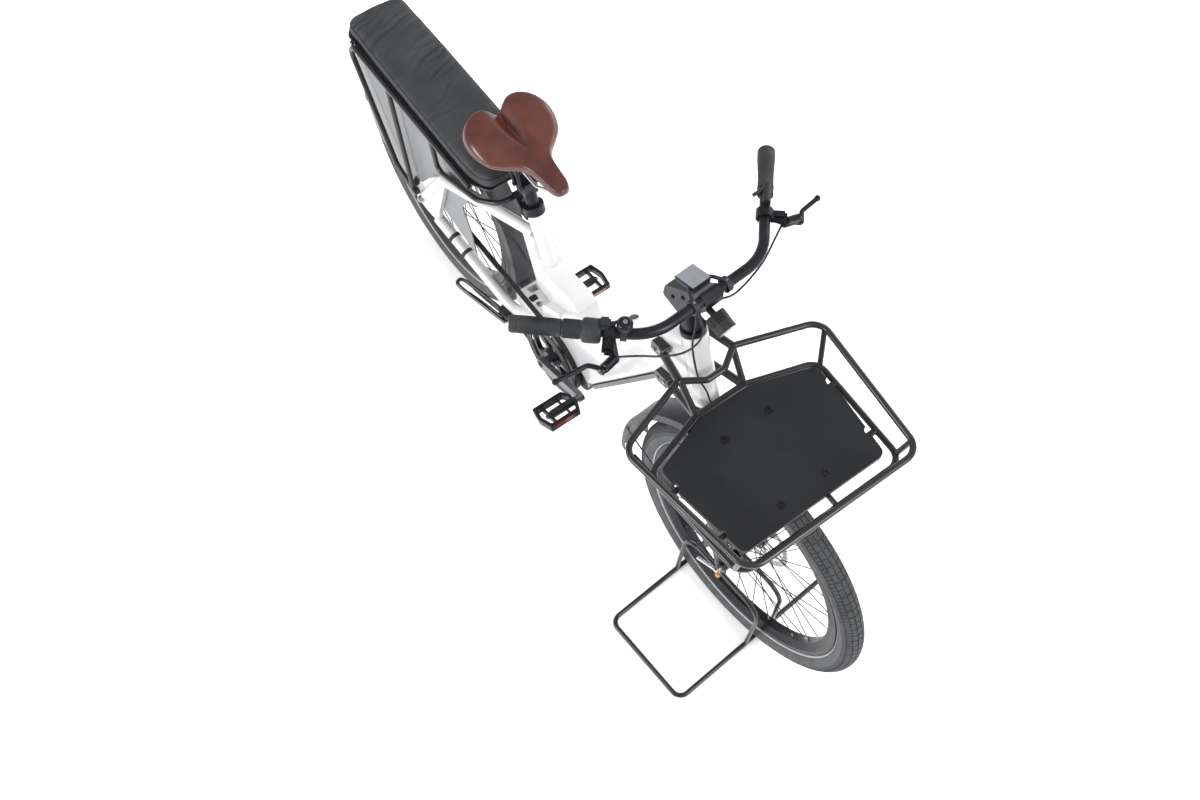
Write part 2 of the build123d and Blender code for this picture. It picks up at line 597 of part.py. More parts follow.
with BuildPart() as carrier_cushion:
    plate([(-872, -58), (-872, 58), (-846, 82), (-700, 90), (-330, 90), (-252, 62), (-252, -62), (-330, -90),
           (-700, -90), (-846, -82)], deck_top + CLEARANCE, 760, corners=[18, 18, 14, 60, 60, 40, 40, 60, 60, 14])
    fillet(carrier_cushion.faces().sort_by(Axis.Z)[-1].edges(), 14)

with BuildPart() as rear_mudguard:
    mudguard(rear_hub, GUARD_INNER, GUARD_WIDTH, -9, 178)
    # the tabs that hold it: on the yoke and under the deck
    slab([(-216, 318), (-216, 340), (-204.3, 340), (-204.3, 318)], -12, 12)
    slab([(-590, 713), (-590, deck_bottom), (-562, deck_bottom), (-562, 713)], -12, 12)

with BuildPart() as side_panels:
    for sign in (1, -1):
        low = sign * 62
        high = sign * 65
        slab([(-820, 700), (-655, 412), (-500, 412), (-330, 362), (-324, 371), (-349, 439), (-385, 521),
              (-362, 560), (-330, 700)], min(low, high), max(low, high), corners=[6, 30, 20, 2, 2, 20, 20, 20, 6])
        for station in (-790, -600, -380):
            rod((station, sign * 63.5, 694), (station, sign * 83, 706), 3.5)
        rod((-852, sign * RAIL_HALF_WIDTH, RAIL_HEIGHT), (-305, sign * RAIL_HALF_WIDTH, RAIL_HEIGHT),
            CARRIER_TUBE + CLEARANCE, mode=Mode.SUBTRACT)
        tube(side(sign, STAY_ROUTE), [55, 70], STAY_RADIUS + 2, mode=Mode.SUBTRACT)

with BuildPart() as rear_light:
    slab([(-862, 688), (-862, 717), (-880, 717), (-884, 690)], -30, 30)

with BuildPart() as footboards:
    for sign in (1, -1):
        along = Vector(-166, sign * 43, 14).normalized()
        face = Plane(origin=(-190, sign * 75, 263), x_dir=along, z_dir=Vector(0, 1, 0).cross(along))
        with BuildSketch(face) as board:
            with Locations((86, 0)):
                RectangleRounded(172, 34, 10)
            with Locations((148, 0)):
                SlotOverall(36, 18, mode=Mode.SUBTRACT)
        extrude(board.sketch, amount=-12)
        low = sign * 62
        high = sign * 78
        slab([(-222, 252), (-222, 288), (-194, 288), (-194, 252)], min(low, high), max(low, high), corners=2)
        tube(side(sign, CHAINSTAY_ROUTE), [60], CHAINSTAY_RADIUS + CLEARANCE, mode=Mode.SUBTRACT)

# ================= front carrier =================

BASKET_TUBE = 7.0
RIM_HEIGHT = 893.5
FLOOR_HEIGHT = 822.0
BOARD_THICKNESS = 12.0
CARRIER_SLOPE = 2.6  # the whole carrier rises forward by this angle
slope = radians(CARRIER_SLOPE)
carrier_flat = Plane(origin=(749, 0, 0), x_dir=(cos(slope), 0, sin(slope)), z_dir=(-sin(slope), 0, cos(slope)))


def on_carrier(x, y, height):
    """A point of the carrier from its place before the carrier is sloped."""
    level = Vector(749, 0, FLOOR_HEIGHT)
    return level + carrier_flat.x_dir * (x - level.X) + carrier_flat.z_dir * (height - level.Z) + Vector(0, y, 0)


with BuildPart() as front_carrier:
    # the top rail is one closed tube that turns in front of the head tube
    top_rail = [(832, 212), (497, 251), (437, 70), (469, 22), (469, -22), (437, -70), (497, -251), (832, -212)]
    closed_tube([on_carrier(x, y, RIM_HEIGHT) for x, y in top_rail], [38, 38, 14, 14, 14, 14, 38, 38], BASKET_TUBE)
    # the lower rail runs below the board and carries it
    low_rail = [(811, 206), (541, 219), (492, 62), (492, -62), (541, -219), (811, -206)]
    closed_tube([on_carrier(x, y, FLOOR_HEIGHT) for x, y in low_rail], [34, 34, 30, 30, 34, 34], BASKET_TUBE)
    for sign in (1, -1):
        for low, high in (((793, 206.5), (808, 214.5)), ((551, 216), (519, 242)), ((810, 0), (831, 0))):
            if low[1] or sign > 0:
                rod(on_carrier(low[0], sign * low[1], FLOOR_HEIGHT), on_carrier(high[0], sign * high[1], RIM_HEIGHT), 6)
        # arms back to the beam
        rod((345, sign * 49, 868), on_carrier(438, sign * 69, RIM_HEIGHT), 9)
        rod((372, sign * 46, 772), on_carrier(494, sign * 62, FLOOR_HEIGHT), 9)
        rod(on_carrier(440, sign * 67, RIM_HEIGHT), on_carrier(492, sign * 62, FLOOR_HEIGHT), 7.1)
        # clamp pads on the beam's sides
        slab([(330, 852), (330, 884), (368, 888), (368, 856)], min(sign * 40, sign * 58),
             max(sign * 40, sign * 58), corners=5)
        slab([(350, 752), (350, 786), (392, 792), (392, 762)], min(sign * 36, sign * 56),
             max(sign * 36, sign * 56), corners=5)
    for station in (600, 730):
        rod(on_carrier(station, -212, FLOOR_HEIGHT), on_carrier(station, 212, FLOOR_HEIGHT), BASKET_TUBE - 0.1)
    beam_gap = [rounded_section(BEAM_MIDDLE_LOW, (262, 806), BEAM_WIDTH - 4 + 2 * CLEARANCE, BEAM_EDGE),
                rounded_section((400, 762), (345, 905), 74 + 2 * CLEARANCE, BEAM_EDGE),
                rounded_section((447, 770), (390, 930), 50 + 2 * CLEARANCE, 14)]
    loft(beam_gap, ruled=True, mode=Mode.SUBTRACT)

with BuildPart() as carrier_board:
    board_low = FLOOR_HEIGHT + BASKET_TUBE + CLEARANCE
    board_flat = Plane(origin=on_carrier(749, 0, board_low), x_dir=carrier_flat.x_dir, z_dir=carrier_flat.z_dir)
    outline = [(507, -60), (507, 60), (553, 200), (620, 200), (785, 180), (785, -180), (620, -200), (553, -200)]
    with BuildSketch(board_flat) as sheet:
        with BuildLine():
            FilletPolyline(*[(x - 749, y) for x, y in outline], radius=[20, 20, 16, 2, 16, 16, 2, 16], close=True)
        make_face()
        with Locations(*[(x - 749, y) for x in (575, 749) for y in (-57, 57)]):
            Circle(4, mode=Mode.SUBTRACT)
        with Locations(*[(x - 749, sign * y) for x, y in ((597, 203), (728, 190)) for sign in (1, -1)]):
            Circle(11, mode=Mode.SUBTRACT)
    extrude(sheet.sketch, amount=BOARD_THICKNESS)

# ================= fork and cockpit, built straight ahead =================

hub_distance = -(head_bottom - head_foot).length
CROWN_LOW = -42.0
LOWER_TOP = -118.0
BAR_RADIUS = 11.1
BAR_MIDDLE = Vector(403, 0, 1089)
BAR_ROUTE = [(220, 323, 1083), (403, 140, 1089), (403, -140, 1089), (220, -323, 1083)]
BAR_BENDS = [110, 110]
brace_middle = on_head(-78, 74, 0)

with BuildPart() as fork:
    rod(on_head(-42), on_head(260), STEERER_RADIUS)
    with BuildSketch(Plane(origin=on_head(CROWN_LOW), x_dir=ahead, z_dir=up_head)) as crown:
        with Locations((CROWN_OFFSET, 0)):
            SlotOverall(2 * LEG_SPACING + 44, 44, rotation=90)
        with Locations((CROWN_OFFSET / 2, 0)):
            RectangleRounded(CROWN_OFFSET + 40, 58, 14)
    extrude(crown.sketch, amount=31.7)
    for sign in (1, -1):
        rod(on_head(CROWN_LOW + 5, CROWN_OFFSET, sign * LEG_SPACING),
            on_head(LOWER_TOP - 100, CROWN_OFFSET, sign * LEG_SPACING), STANCHION_RADIUS)

with BuildPart() as fork_lowers:
    for sign in (1, -1):
        place = sign * LEG_SPACING
        rod(on_head(LOWER_TOP, CROWN_OFFSET, place), on_head(hub_distance - 14, CROWN_OFFSET, place), LOWER_RADIUS)
        inner = sign * (FRONT_HUB_HALF_WIDTH + 1)
        rod(on_head(hub_distance, FORK_OFFSET, inner), on_head(hub_distance, FORK_OFFSET, sign * 84), 15)
    tube([on_head(LOWER_TOP - 30, 54, 63), on_head(LOWER_TOP + 10, 68, 60), brace_middle + Vector(0, 46, 0),
          brace_middle - Vector(0, 46, 0), on_head(LOWER_TOP + 10, 68, -60), on_head(LOWER_TOP - 30, 54, -63)],
         [12, 12, 12, 12], 7)
    for sign in (1, -1):
        place = sign * LEG_SPACING
        rod(on_head(LOWER_TOP - 130, CROWN_OFFSET, place), on_head(LOWER_TOP + 5, CROWN_OFFSET, place),
            STANCHION_RADIUS + RUNNING_FIT, mode=Mode.SUBTRACT)
    rod(front_hub - Vector(0, 50, 0), front_hub + Vector(0, 50, 0), 26, mode=Mode.SUBTRACT)
    rod(front_hub - Vector(0, 90, 0), front_hub + Vector(0, 90, 0), AXLE_RADIUS, mode=Mode.SUBTRACT)

with BuildPart() as front_axle:
    rod(front_hub - Vector(0, 88, 0), front_hub + Vector(0, 88, 0), AXLE_RADIUS)
    rod(front_hub - Vector(0, 84.3, 0), front_hub - Vector(0, 92, 0), 10)
    rod(front_hub + Vector(0, 84.3, 0), front_hub + Vector(0, 92, 0), 10)
    rod(front_hub - Vector(0, 95, 0), front_hub - Vector(55, 99, 24), 4)
    rod(front_hub - Vector(0, 90, 0), front_hub - Vector(0, 99, 0), 7)

with BuildPart() as stem:
    rod(on_head(HEAD_TUBE_LENGTH + 11.3), on_head(262), 21)
    slab([(308, 1002), (352, 990), (378, 1004), (419, 1074), (418, 1094), (399, 1106), (384, 1091), (352, 1067),
          (310, 1036)], -22, 22, corners=[10, 10, 12, 8, 8, 6, 6, 12, 10])
    rod(on_head(HEAD_TUBE_LENGTH), on_head(261), STEERER_RADIUS + RUNNING_FIT, mode=Mode.SUBTRACT)
    tube(BAR_ROUTE, BAR_BENDS, BAR_RADIUS + RUNNING_FIT, mode=Mode.SUBTRACT)

with BuildPart() as handlebar:
    tube(BAR_ROUTE, BAR_BENDS, BAR_RADIUS)

grip_end = Vector(*BAR_ROUTE[0])
grip_bend = Vector(*BAR_ROUTE[1])
bar_tail = (grip_bend - grip_end).normalized()


def on_grip(distance, sign, forward=0.0, up=0.0):
    """A point by its distance from the bar's end along the grip."""
    point = grip_end + bar_tail * distance + Vector(forward, 0, up)
    return Vector(point.X, sign * point.Y, point.Z)


def sleeve(sign, start, end, outer):
    rod(on_grip(start, sign), on_grip(end, sign), outer)


with BuildPart() as grips:
    sleeve(-1, -6, 90, 17)
    sleeve(1, -6, 95, 17)
    for sign in (1, -1):
        rod(on_grip(0, sign), on_grip(190, sign), BAR_RADIUS + RUNNING_FIT, mode=Mode.SUBTRACT)

with BuildPart() as twist_shifter:
    sleeve(-1, 91, 128, 18)
    sleeve(-1, 128, 164, 24)
    rod(on_grip(0, -1), on_grip(190, -1), BAR_RADIUS + RUNNING_FIT, mode=Mode.SUBTRACT)


def make_lever(sign, ring_at, pivot, blade):
    """A brake lever: clamp ring, body and blade."""
    sleeve(sign, ring_at, ring_at + 14, 17)
    rod(on_grip(ring_at + 7, sign), pivot, 9)
    tube([pivot] + blade, [10, 14], 5)
    tube(BAR_ROUTE, BAR_BENDS, BAR_RADIUS + RUNNING_FIT, mode=Mode.SUBTRACT)


with BuildPart() as brake_levers:
    make_lever(-1, 172, Vector(379, -210, 1050),
               [Vector(385, -238, 1047), Vector(358, -256, 1045), Vector(346, -323, 1040)])
    make_lever(1, 150, Vector(362, 252, 1060),
               [Vector(376, 280, 1050), Vector(353, 302, 1045), Vector(349.5, 350, 1045)])

with BuildPart() as left_remote:
    sleeve(1, 98, 110, 16)
    rod(on_grip(100, 1, 0, 21), on_grip(144, 1, 0, 21), 8)
    rod(on_grip(104, 1, 0, 21), Vector(292, 214, 1106), 4)
    rod(on_grip(0, 1), on_grip(190, 1), BAR_RADIUS + RUNNING_FIT, mode=Mode.SUBTRACT)

with BuildPart() as bell:
    sleeve(-1, 199, 211, 15)
    rod(on_grip(205, -1, 0, 12), on_grip(205, -1, 0, 27), 7)
    rod(on_grip(205, -1, 0, 24), on_grip(205, -1, 0, 36), 15)
    tube(BAR_ROUTE, BAR_BENDS, BAR_RADIUS + RUNNING_FIT, mode=Mode.SUBTRACT)

with BuildPart() as display:
    for sign in (1, -1):
        rod(BAR_MIDDLE + Vector(0, sign * 36, 0), BAR_MIDDLE + Vector(0, sign * 47, 0), 16)
        tube([BAR_MIDDLE + Vector(-6, sign * 40, 10), Vector(380, sign * 30, 1098), Vector(358, sign * 14, 1091)],
             [10], 4)
    screen_flat = Plane(origin=(358, 0, 1088), x_dir=(1, 0, 0.3), z_dir=(-0.3, 0, 1))
    with BuildSketch(screen_flat) as screen:
        RectangleRounded(52, 46, 5)
    extrude(screen.sketch, amount=10)
    tube(BAR_ROUTE, BAR_BENDS, BAR_RADIUS + RUNNING_FIT, mode=Mode.SUBTRACT)
    add(stem.part, mode=Mode.SUBTRACT)

with BuildPart() as headlight:
    rod((424, 0, 1050), (462, 0, 1040), 21)
    rod((399, 0, 1050), (430, 0, 1048), 7)
    add(stem.part, mode=Mode.SUBTRACT)

with BuildPart() as front_mudguard:
    # its centre lies behind and below the axle, so the gap to the tyre grows towards the tail
    guard_centre = front_hub - Vector(16.7, 0, 16.7)
    mudguard(guard_centre, FRONT_GUARD_INNER, FRONT_GUARD_WIDTH, 96, 187)
    edge = FRONT_GUARD_WIDTH / 2 + 1
    for sign in (1, -1):
        rod((646, sign * 66, 338), (283, sign * edge, 408), 2)
        rod((646, sign * 66, 338), (459, sign * edge, 658), 2)
        rod(on_head(hub_distance - 20, CROWN_OFFSET, sign * LEG_SPACING),
            on_head(hub_distance + 80, CROWN_OFFSET, sign * LEG_SPACING), LOWER_RADIUS + CLEARANCE,
            mode=Mode.SUBTRACT)
    inward = (guard_centre - brace_middle).normalized()
    rod(brace_middle, brace_middle + inward * 9.5, 5)
    rod(brace_middle - Vector(0, 20, 0), brace_middle + Vector(0, 20, 0), 7 + CLEARANCE, mode=Mode.SUBTRACT)

with BuildPart() as front_brake_caliper:
    slab([(575, 380), (608, 368), (622, 404), (590, 420)], 34, 57, corners=6)
    rod((606, 52, 392), (632, 56, 394), 6)
    rod(on_head(hub_distance - 20, CROWN_OFFSET, LEG_SPACING), on_head(hub_distance + 90, CROWN_OFFSET, LEG_SPACING),
        LOWER_RADIUS + CLEARANCE, mode=Mode.SUBTRACT)
    ring(front_hub, [(DISC_OFFSET - 1.5, 20), (DISC_OFFSET + 3.5, 20), (DISC_OFFSET + 3.5, 95),
                     (DISC_OFFSET - 1.5, 95)], mode=Mode.SUBTRACT)

with BuildPart() as rear_brake_caliper:
    slab([(-520, 384), (-496, 410), (-518, 436), (-546, 412)], 34, 58, corners=5)
    rod((-515, 50, 400), (-515, 67.2, 400), 5)
    ring(rear_hub, [(DISC_OFFSET - 1.5, 30), (DISC_OFFSET + 3.5, 30), (DISC_OFFSET + 3.5, 95),
                    (DISC_OFFSET - 1.5, 95)], mode=Mode.SUBTRACT)

# ================= hoses, cables and small fittings =================

HOSE_RADIUS = 2.2

with BuildPart() as front_hoses:
    # right lever to the stem's cover, left lever to the cover, and from there down to the front brake
    cord([(379, -206, 1050), (393, -168, 1034), (421, -124, 1019), (441, -80, 1013), (440, -38, 1022),
          (416, -20, 1042), (396, -19, 1048)], HOSE_RADIUS)
    cord([(358, 240, 1064), (377, 200, 1068), (401, 150, 1070), (414, 108, 1074), (423, 62, 1074), (423, 34, 1074),
          (409, 14, 1070)], HOSE_RADIUS)
    cord([(391, -14, 1036), on_head(246, 42, -20), on_head(200, 28, -29), on_head(150, 25.5, -30),
          on_head(95, 26, -29), on_head(58, 33.5, -18), on_head(22, 34, -16), on_head(-13, 70, -4),
          on_head(-64, 88, 22), on_head(-106, 86, 58), on_head(-156, 70, 82), on_head(-208, 50, 89.5),
          on_head(-262, 37, 89.5), on_head(-305, 24, 87), on_head(-345, 14, 74), (612, 51, 406)], HOSE_RADIUS)
    for mate in (stem.part, brake_levers.part, front_brake_caliper.part):
        add(mate, mode=Mode.SUBTRACT)

with BuildPart() as rear_cables:
    # from the yoke over the mudguard to the right seat stay
    cord([(-128, 22, 372), (-150, 19, 398), (-182, 14, 412), (-214, 9, 430), (-227, 3, 460), (-241, -6, 497),
          (-257, -26, 536), (-272, -43, 588), (-286, -57, 634)], HOSE_RADIUS)
    add(frame.part, mode=Mode.SUBTRACT)

with BuildPart() as straps:
    # two bands round the right chainstay
    for station, place, height in ((-440, 69.03, 325.38), (-387, 65.51, 315.51)):
        with BuildSketch(Plane(origin=(station, -place, height), z_dir=(-312, -20.5, 58))) as band:
            Circle(CHAINSTAY_RADIUS + 1.8)
            Circle(CHAINSTAY_RADIUS + 0.05, mode=Mode.SUBTRACT)
        extrude(band.sketch, amount=5, both=True)

with BuildPart() as charge_port_cover:
    top_run = Vector(262 + 8, 0, 806 - 507).normalized()
    port_flat = Plane(origin=Vector(-8, 0, 507) + top_run * 320, x_dir=top_run, z_dir=(-top_run.Z, 0, top_run.X))
    with BuildSketch(port_flat) as lid:
        SlotOverall(30, 15)
    extrude(lid.sketch, amount=2.5)

# ================= wheel stand =================

STAND_HEADING = 3.93  # the stand lies flat and is square to the turned wheel
stand_place = Vector(663.5, -7, 0)
STAND_TUBE = 6.0
STAND_LENGTH = 256.0
STAND_REACH = 265.0
STAND_HEIGHT = 220.0

with BuildPart() as wheel_stand:
    half = STAND_LENGTH / 2
    foot = 45.0
    top = 36.5
    closed_tube([(half, STAND_REACH, STAND_TUBE), (-half, STAND_REACH, STAND_TUBE),
                 (-half, -STAND_REACH, STAND_TUBE), (half, -STAND_REACH, STAND_TUBE)], 24, STAND_TUBE)
    for sign in (1, -1):
        tube([(half, sign * foot, STAND_TUBE - 1), (half, sign * top, STAND_HEIGHT),
              (-half, sign * top, STAND_HEIGHT), (-half, sign * foot, STAND_TUBE - 1)], 50, STAND_TUBE - 0.5)

# ================= placing and writing =================

STEERED = [fork, fork_lowers, front_axle, stem, handlebar, grips, twist_shifter, brake_levers, left_remote, bell,
           display, headlight, front_mudguard, front_brake_caliper, front_hoses, front_tyre, front_rim,
           front_spokes, front_wheel_hub, front_disc]
pieces = {name: piece for name, piece in list(globals().items()) if isinstance(piece, BuildPart)}
shapes = {}
for name, piece in pieces.items():
    shape = piece.part
    if any(piece is steered for steered in STEERED):
        shape = shape.rotate(head_axis, STEERING_REST)
    if piece is wheel_stand:
        shape = shape.rotate(Axis.Z, STAND_HEADING).translate(stand_place)
    shapes[name] = shape
boxes = [shape.bounding_box() for shape in shapes.values()]
middle_x = (min(box.min.X for box in boxes) + max(box.max.X for box in boxes)) / 2
middle_y = (min(box.min.Y for box in boxes) + max(box.max.Y for box in boxes)) / 2
os.makedirs("parts", exist_ok=True)
for name, shape in shapes.items():
    moved = shape.translate((-middle_x, -middle_y, 0))
    moved.label = name
    export_step(moved, f"parts/{name}.step")
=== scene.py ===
import bpy
import bmesh
import json
from math import atan2, cos, pi, radians, sin, sqrt, tau
from mathutils import Matrix, Vector, noise
from mathutils.bvhtree import BVHTree


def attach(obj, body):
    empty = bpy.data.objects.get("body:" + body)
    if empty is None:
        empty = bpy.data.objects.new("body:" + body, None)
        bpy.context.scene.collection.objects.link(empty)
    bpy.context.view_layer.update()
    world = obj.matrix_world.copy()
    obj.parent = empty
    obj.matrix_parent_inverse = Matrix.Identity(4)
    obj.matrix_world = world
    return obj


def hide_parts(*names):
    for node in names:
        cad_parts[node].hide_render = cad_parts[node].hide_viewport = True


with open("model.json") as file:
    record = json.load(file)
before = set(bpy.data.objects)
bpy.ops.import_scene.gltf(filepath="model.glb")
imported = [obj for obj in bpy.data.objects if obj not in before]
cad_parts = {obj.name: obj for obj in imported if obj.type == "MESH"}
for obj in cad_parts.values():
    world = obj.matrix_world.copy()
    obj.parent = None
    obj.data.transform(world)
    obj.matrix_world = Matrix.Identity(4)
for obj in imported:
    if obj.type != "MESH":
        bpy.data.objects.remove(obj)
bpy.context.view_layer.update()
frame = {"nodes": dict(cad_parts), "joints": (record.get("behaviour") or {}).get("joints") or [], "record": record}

nodes = frame["nodes"]
joints = {joint["name"]: joint for joint in frame["joints"]}
scene = bpy.context.scene

# ------------------------------------------------------------------ camera

BRACKET = Vector((-9.0, 0.0, 314.0))  # the bottom bracket, in the bicycle's own millimetres
SHIFT = Vector(joints["crank_spin"]["pos_m"]) - BRACKET / 1000


def at(x, y, z):
    """A point of the model from the bicycle's own millimetres."""
    return Vector((x, y, z)) / 1000 + SHIFT


eye = at(1264.7, -958.0, 3137.0)
look = Vector((-0.34963, 0.29050, -0.89071))
right = Vector((0.59017, 0.80667, 0.03142))
rise = Vector((-0.72764, 0.51469, 0.45348))
camera = bpy.data.objects.new("camera", bpy.data.cameras.new("camera"))
camera.matrix_world = Matrix((
    (right.x, rise.x, -look.x, eye.x),
    (right.y, rise.y, -look.y, eye.y),
    (right.z, rise.z, -look.z, eye.z),
    (0, 0, 0, 1)))
camera.data.sensor_width = 36.0
camera.data.lens = 38.72
camera.data.clip_end = 60.0
scene.collection.objects.link(camera)
scene.camera = camera


# ------------------------------------------------------------------ materials


def linear(code):
    """A hex colour as the eye names it, turned into the linear values a shader takes."""
    values = [int(code[i:i + 2], 16) / 255 for i in (1, 3, 5)]
    return [v / 12.92 if v <= 0.04045 else ((v + 0.055) / 1.055) ** 2.4 for v in values] + [1.0]


def add_node(tree, kind, settings=None, inputs=None, **links):
    """Add a node with its settings, its input values and the sockets that feed it."""
    made = tree.nodes.new(kind)
    for name, value in (settings or {}).items():
        setattr(made, name, value)
    for name, value in (inputs or {}).items():
        made.inputs[name].default_value = value
    for name, source in links.items():
        spaced = name.replace("_", " ")
        tree.links.new(source, made.inputs[spaced if spaced in made.inputs else name])
    return made


def start_material(name, **inputs):
    """A new material and its shader, with the shader's own sockets set."""
    made = bpy.data.materials.new(name)
    made.use_nodes = True
    shader = made.node_tree.nodes["Principled BSDF"]
    for socket, value in inputs.items():
        shader.inputs[socket.replace("_", " ")].default_value = value
    return made, made.node_tree, shader


def make_finish(name, scale, low, high, grain=None, wear=None, stretch=None, **inputs):
    """A material in two close shades that drift into each other, on the piece's own coordinates.

    Scale is the clouds of shade to the metre. Grain is a fine relief's scale, strength and depth in metres.
    Wear is the least and the most roughness, which follows the clouds.
    """
    made, tree, shader = start_material(name, **inputs)
    own = add_node(tree, "ShaderNodeTexCoord").outputs["Object"]
    drawn = own
    if stretch:
        drawn = add_node(tree, "ShaderNodeMapping", inputs={"Scale": stretch}, Vector=own).outputs[0]
    cloud = add_node(tree, "ShaderNodeTexNoise", inputs={"Scale": scale, "Detail": 3.0}, Vector=drawn)
    ramp = add_node(tree, "ShaderNodeValToRGB", Fac=cloud.outputs["Fac"])
    for stop, position, shade in zip(ramp.color_ramp.elements, (0.35, 0.65), (low, high)):
        stop.position = position
        stop.color = linear(shade)
    tree.links.new(ramp.outputs["Color"], shader.inputs["Base Color"])
    if grain:
        fineness, strength, depth = grain
        pebbles = add_node(tree, "ShaderNodeTexNoise", inputs={"Scale": fineness, "Detail": 3.0}, Vector=own)
        bump = add_node(tree, "ShaderNodeBump", inputs={"Strength": strength, "Distance": depth},
                        Height=pebbles.outputs["Fac"])
        tree.links.new(bump.outputs["Normal"], shader.inputs["Normal"])
    if wear:
        rough = add_node(tree, "ShaderNodeMapRange", inputs={"To Min": wear[0], "To Max": wear[1]},
                         Value=cloud.outputs["Fac"])
        tree.links.new(rough.outputs["Result"], shader.inputs["Roughness"])
    return made


# White stoving enamel under clear lacquer: bright, with a faint orange peel in its reflections.
white_enamel = make_finish("white stoved enamel", 9.0, "#D0D0D2", "#D6D6D7", grain=(420.0, 0.04, 0.0004),
                           Roughness=0.22, Coat_Weight=0.6, Coat_Roughness=0.06)

# Black powder coat on steel tube: satin, finely pebbled.
black_powder = make_finish("black powder coat", 14.0, "#131417", "#1A1B1E", grain=(900.0, 0.12, 0.0003),
                           wear=(0.30, 0.42), Coat_Weight=0.3, Coat_Roughness=0.2)

# Black anodised aluminium: dark, metallic, softly shiny.
black_anodised = make_finish("black anodised aluminium", 20.0, "#1E1F22", "#2A2B2F",
                             grain=(1100.0, 0.06, 0.0002), wear=(0.26, 0.38), Metallic=0.65)

# Black glass-filled nylon: matt moulded plastic with a spark-eroded texture.
black_nylon = make_finish("black moulded nylon", 30.0, "#18191B", "#222326", grain=(1400.0, 0.2, 0.0003),
                          wear=(0.46, 0.6))

# Grey polypropylene sheet of the skirt panels: smooth with a silky sheen.
grey_sheet = make_finish("grey polypropylene sheet", 6.0, "#7C7D7F", "#848587", grain=(800.0, 0.1, 0.0002),
                         wear=(0.36, 0.48))

# Black polycarbonate mudguard: smoother, with long soft highlights.
guard_plastic = make_finish("mudguard polycarbonate", 8.0, "#222327", "#292A2E", grain=(700.0, 0.08, 0.0002),
                            Roughness=0.38)

# Bare machined aluminium: bright, with soft uneven highlights.
bare_aluminium = make_finish("machined aluminium", 60.0, "#B9BABD", "#CBCCCE", wear=(0.24, 0.38),
                             Metallic=1.0)

# Grey anodised aluminium extrusion, brushed along its length.
grey_extrusion = make_finish("grey anodised extrusion", 25.0, "#77787A", "#868789", wear=(0.34, 0.46),
                             stretch=(1.0, 12.0, 1.0), Metallic=0.8)

# Stainless steel of the discs, rails and screws: bright, a little clouded.
stainless = make_finish("stainless steel", 90.0, "#A9AAAC", "#C0C1C3", wear=(0.2, 0.36), Metallic=1.0)

# Black-coated stainless spokes: dark, with thin glints.
black_spoke = make_finish("black coated spoke", 90.0, "#1A1B1D", "#2B2C2F", Metallic=0.7, Roughness=0.35)

# Tread rubber: grey-black, dull, faintly pebbled.
tyre_rubber = make_finish("tyre rubber", 35.0, "#343537", "#424345", grain=(600.0, 0.25, 0.0004),
                          wear=(0.6, 0.8))

# Soft grip rubber: near black, with hardly any shine.
grip_rubber = make_finish("soft grip rubber", 40.0, "#1F2022", "#2A2B2D", grain=(1000.0, 0.25, 0.0003),
                          Roughness=0.62)

# Brown saddle hide: waxed, with a soft sheen.
saddle_hide = make_finish("brown saddle leather", 18.0, "#421B13", "#53261B", Roughness=0.36, Coat_Weight=0.3,
                          Coat_Roughness=0.2)

# Black polyester canvas: dull and even in tone.
black_canvas = make_finish("black polyester canvas", 12.0, "#2B2C2E", "#343537", Roughness=0.6)

# Black film-faced plywood: hard, dull, faintly pebbled.
film_board = make_finish("film-faced board", 10.0, "#141518", "#1A1B1E", grain=(500.0, 0.2, 0.0003),
                         Roughness=0.5, Specular_IOR_Level=0.35)

# Hardened glass over a grey display: even, with a clear gloss.
screen_glass = make_finish("display glass", 30.0, "#75777D", "#808288", Roughness=0.2, Coat_Weight=0.5,
                           Coat_Roughness=0.1)

# Red acrylic lens: deep red, with sharp highlights.
red_acrylic = make_finish("red acrylic lens", 60.0, "#7C0A0C", "#8E1012", Roughness=0.12, Coat_Weight=1.0)

# Glass-bead reflective band: pale grey, slightly grainy.
reflective_band = make_finish("reflective band", 260.0, "#A3A4A6", "#B9BABC", Metallic=0.4, Roughness=0.35)

# Extruded hose sheath: black, smooth, a little shiny.
hose_sheath = make_finish("hose sheath", 60.0, "#17181A", "#202124", wear=(0.3, 0.44))

# Waxed polyester thread on the saddle, a shade lighter than the hide.
saddle_thread = make_finish("saddle thread", 400.0, "#8E5F52", "#A5786A", Roughness=0.6)

# Woven edge binding: a dull, rough black tape.
black_binding = make_finish("black edge binding", 40.0, "#242527", "#2D2E30", grain=(900.0, 0.3, 0.0004),
                            Roughness=0.75)

# Headlamp lens: pale and glassy, with sharp highlights.
lamp_lens = make_finish("headlamp lens", 120.0, "#C9CCD2", "#DADDE2", Roughness=0.08, Coat_Weight=1.0,
                        Coat_Roughness=0.03)

# Casing rubber: greyer and duller than the tread, as if dusty.
tyre_casing = make_finish("tyre casing rubber", 30.0, "#4A4B4D", "#595A5C", grain=(500.0, 0.25, 0.0004),
                          Roughness=0.75)

# Dark grey polycarbonate of the rear mudguard, smooth.
grey_guard = make_finish("grey polycarbonate guard", 8.0, "#3B3C3F", "#454649", grain=(700.0, 0.08, 0.0002),
                         Roughness=0.4)

# Forged crank arms, anodised grey and lightly polished.
grey_crank = make_finish("grey anodised crank", 50.0, "#6B6C6F", "#7B7C7F", wear=(0.26, 0.4), Metallic=0.8)

# Die-cast pedal cage, painted black, a little uneven in tone.
pedal_cast = make_finish("painted die-cast pedal", 70.0, "#141517", "#232427", grain=(500.0, 0.15, 0.0003),
                         Metallic=0.3, Roughness=0.38)

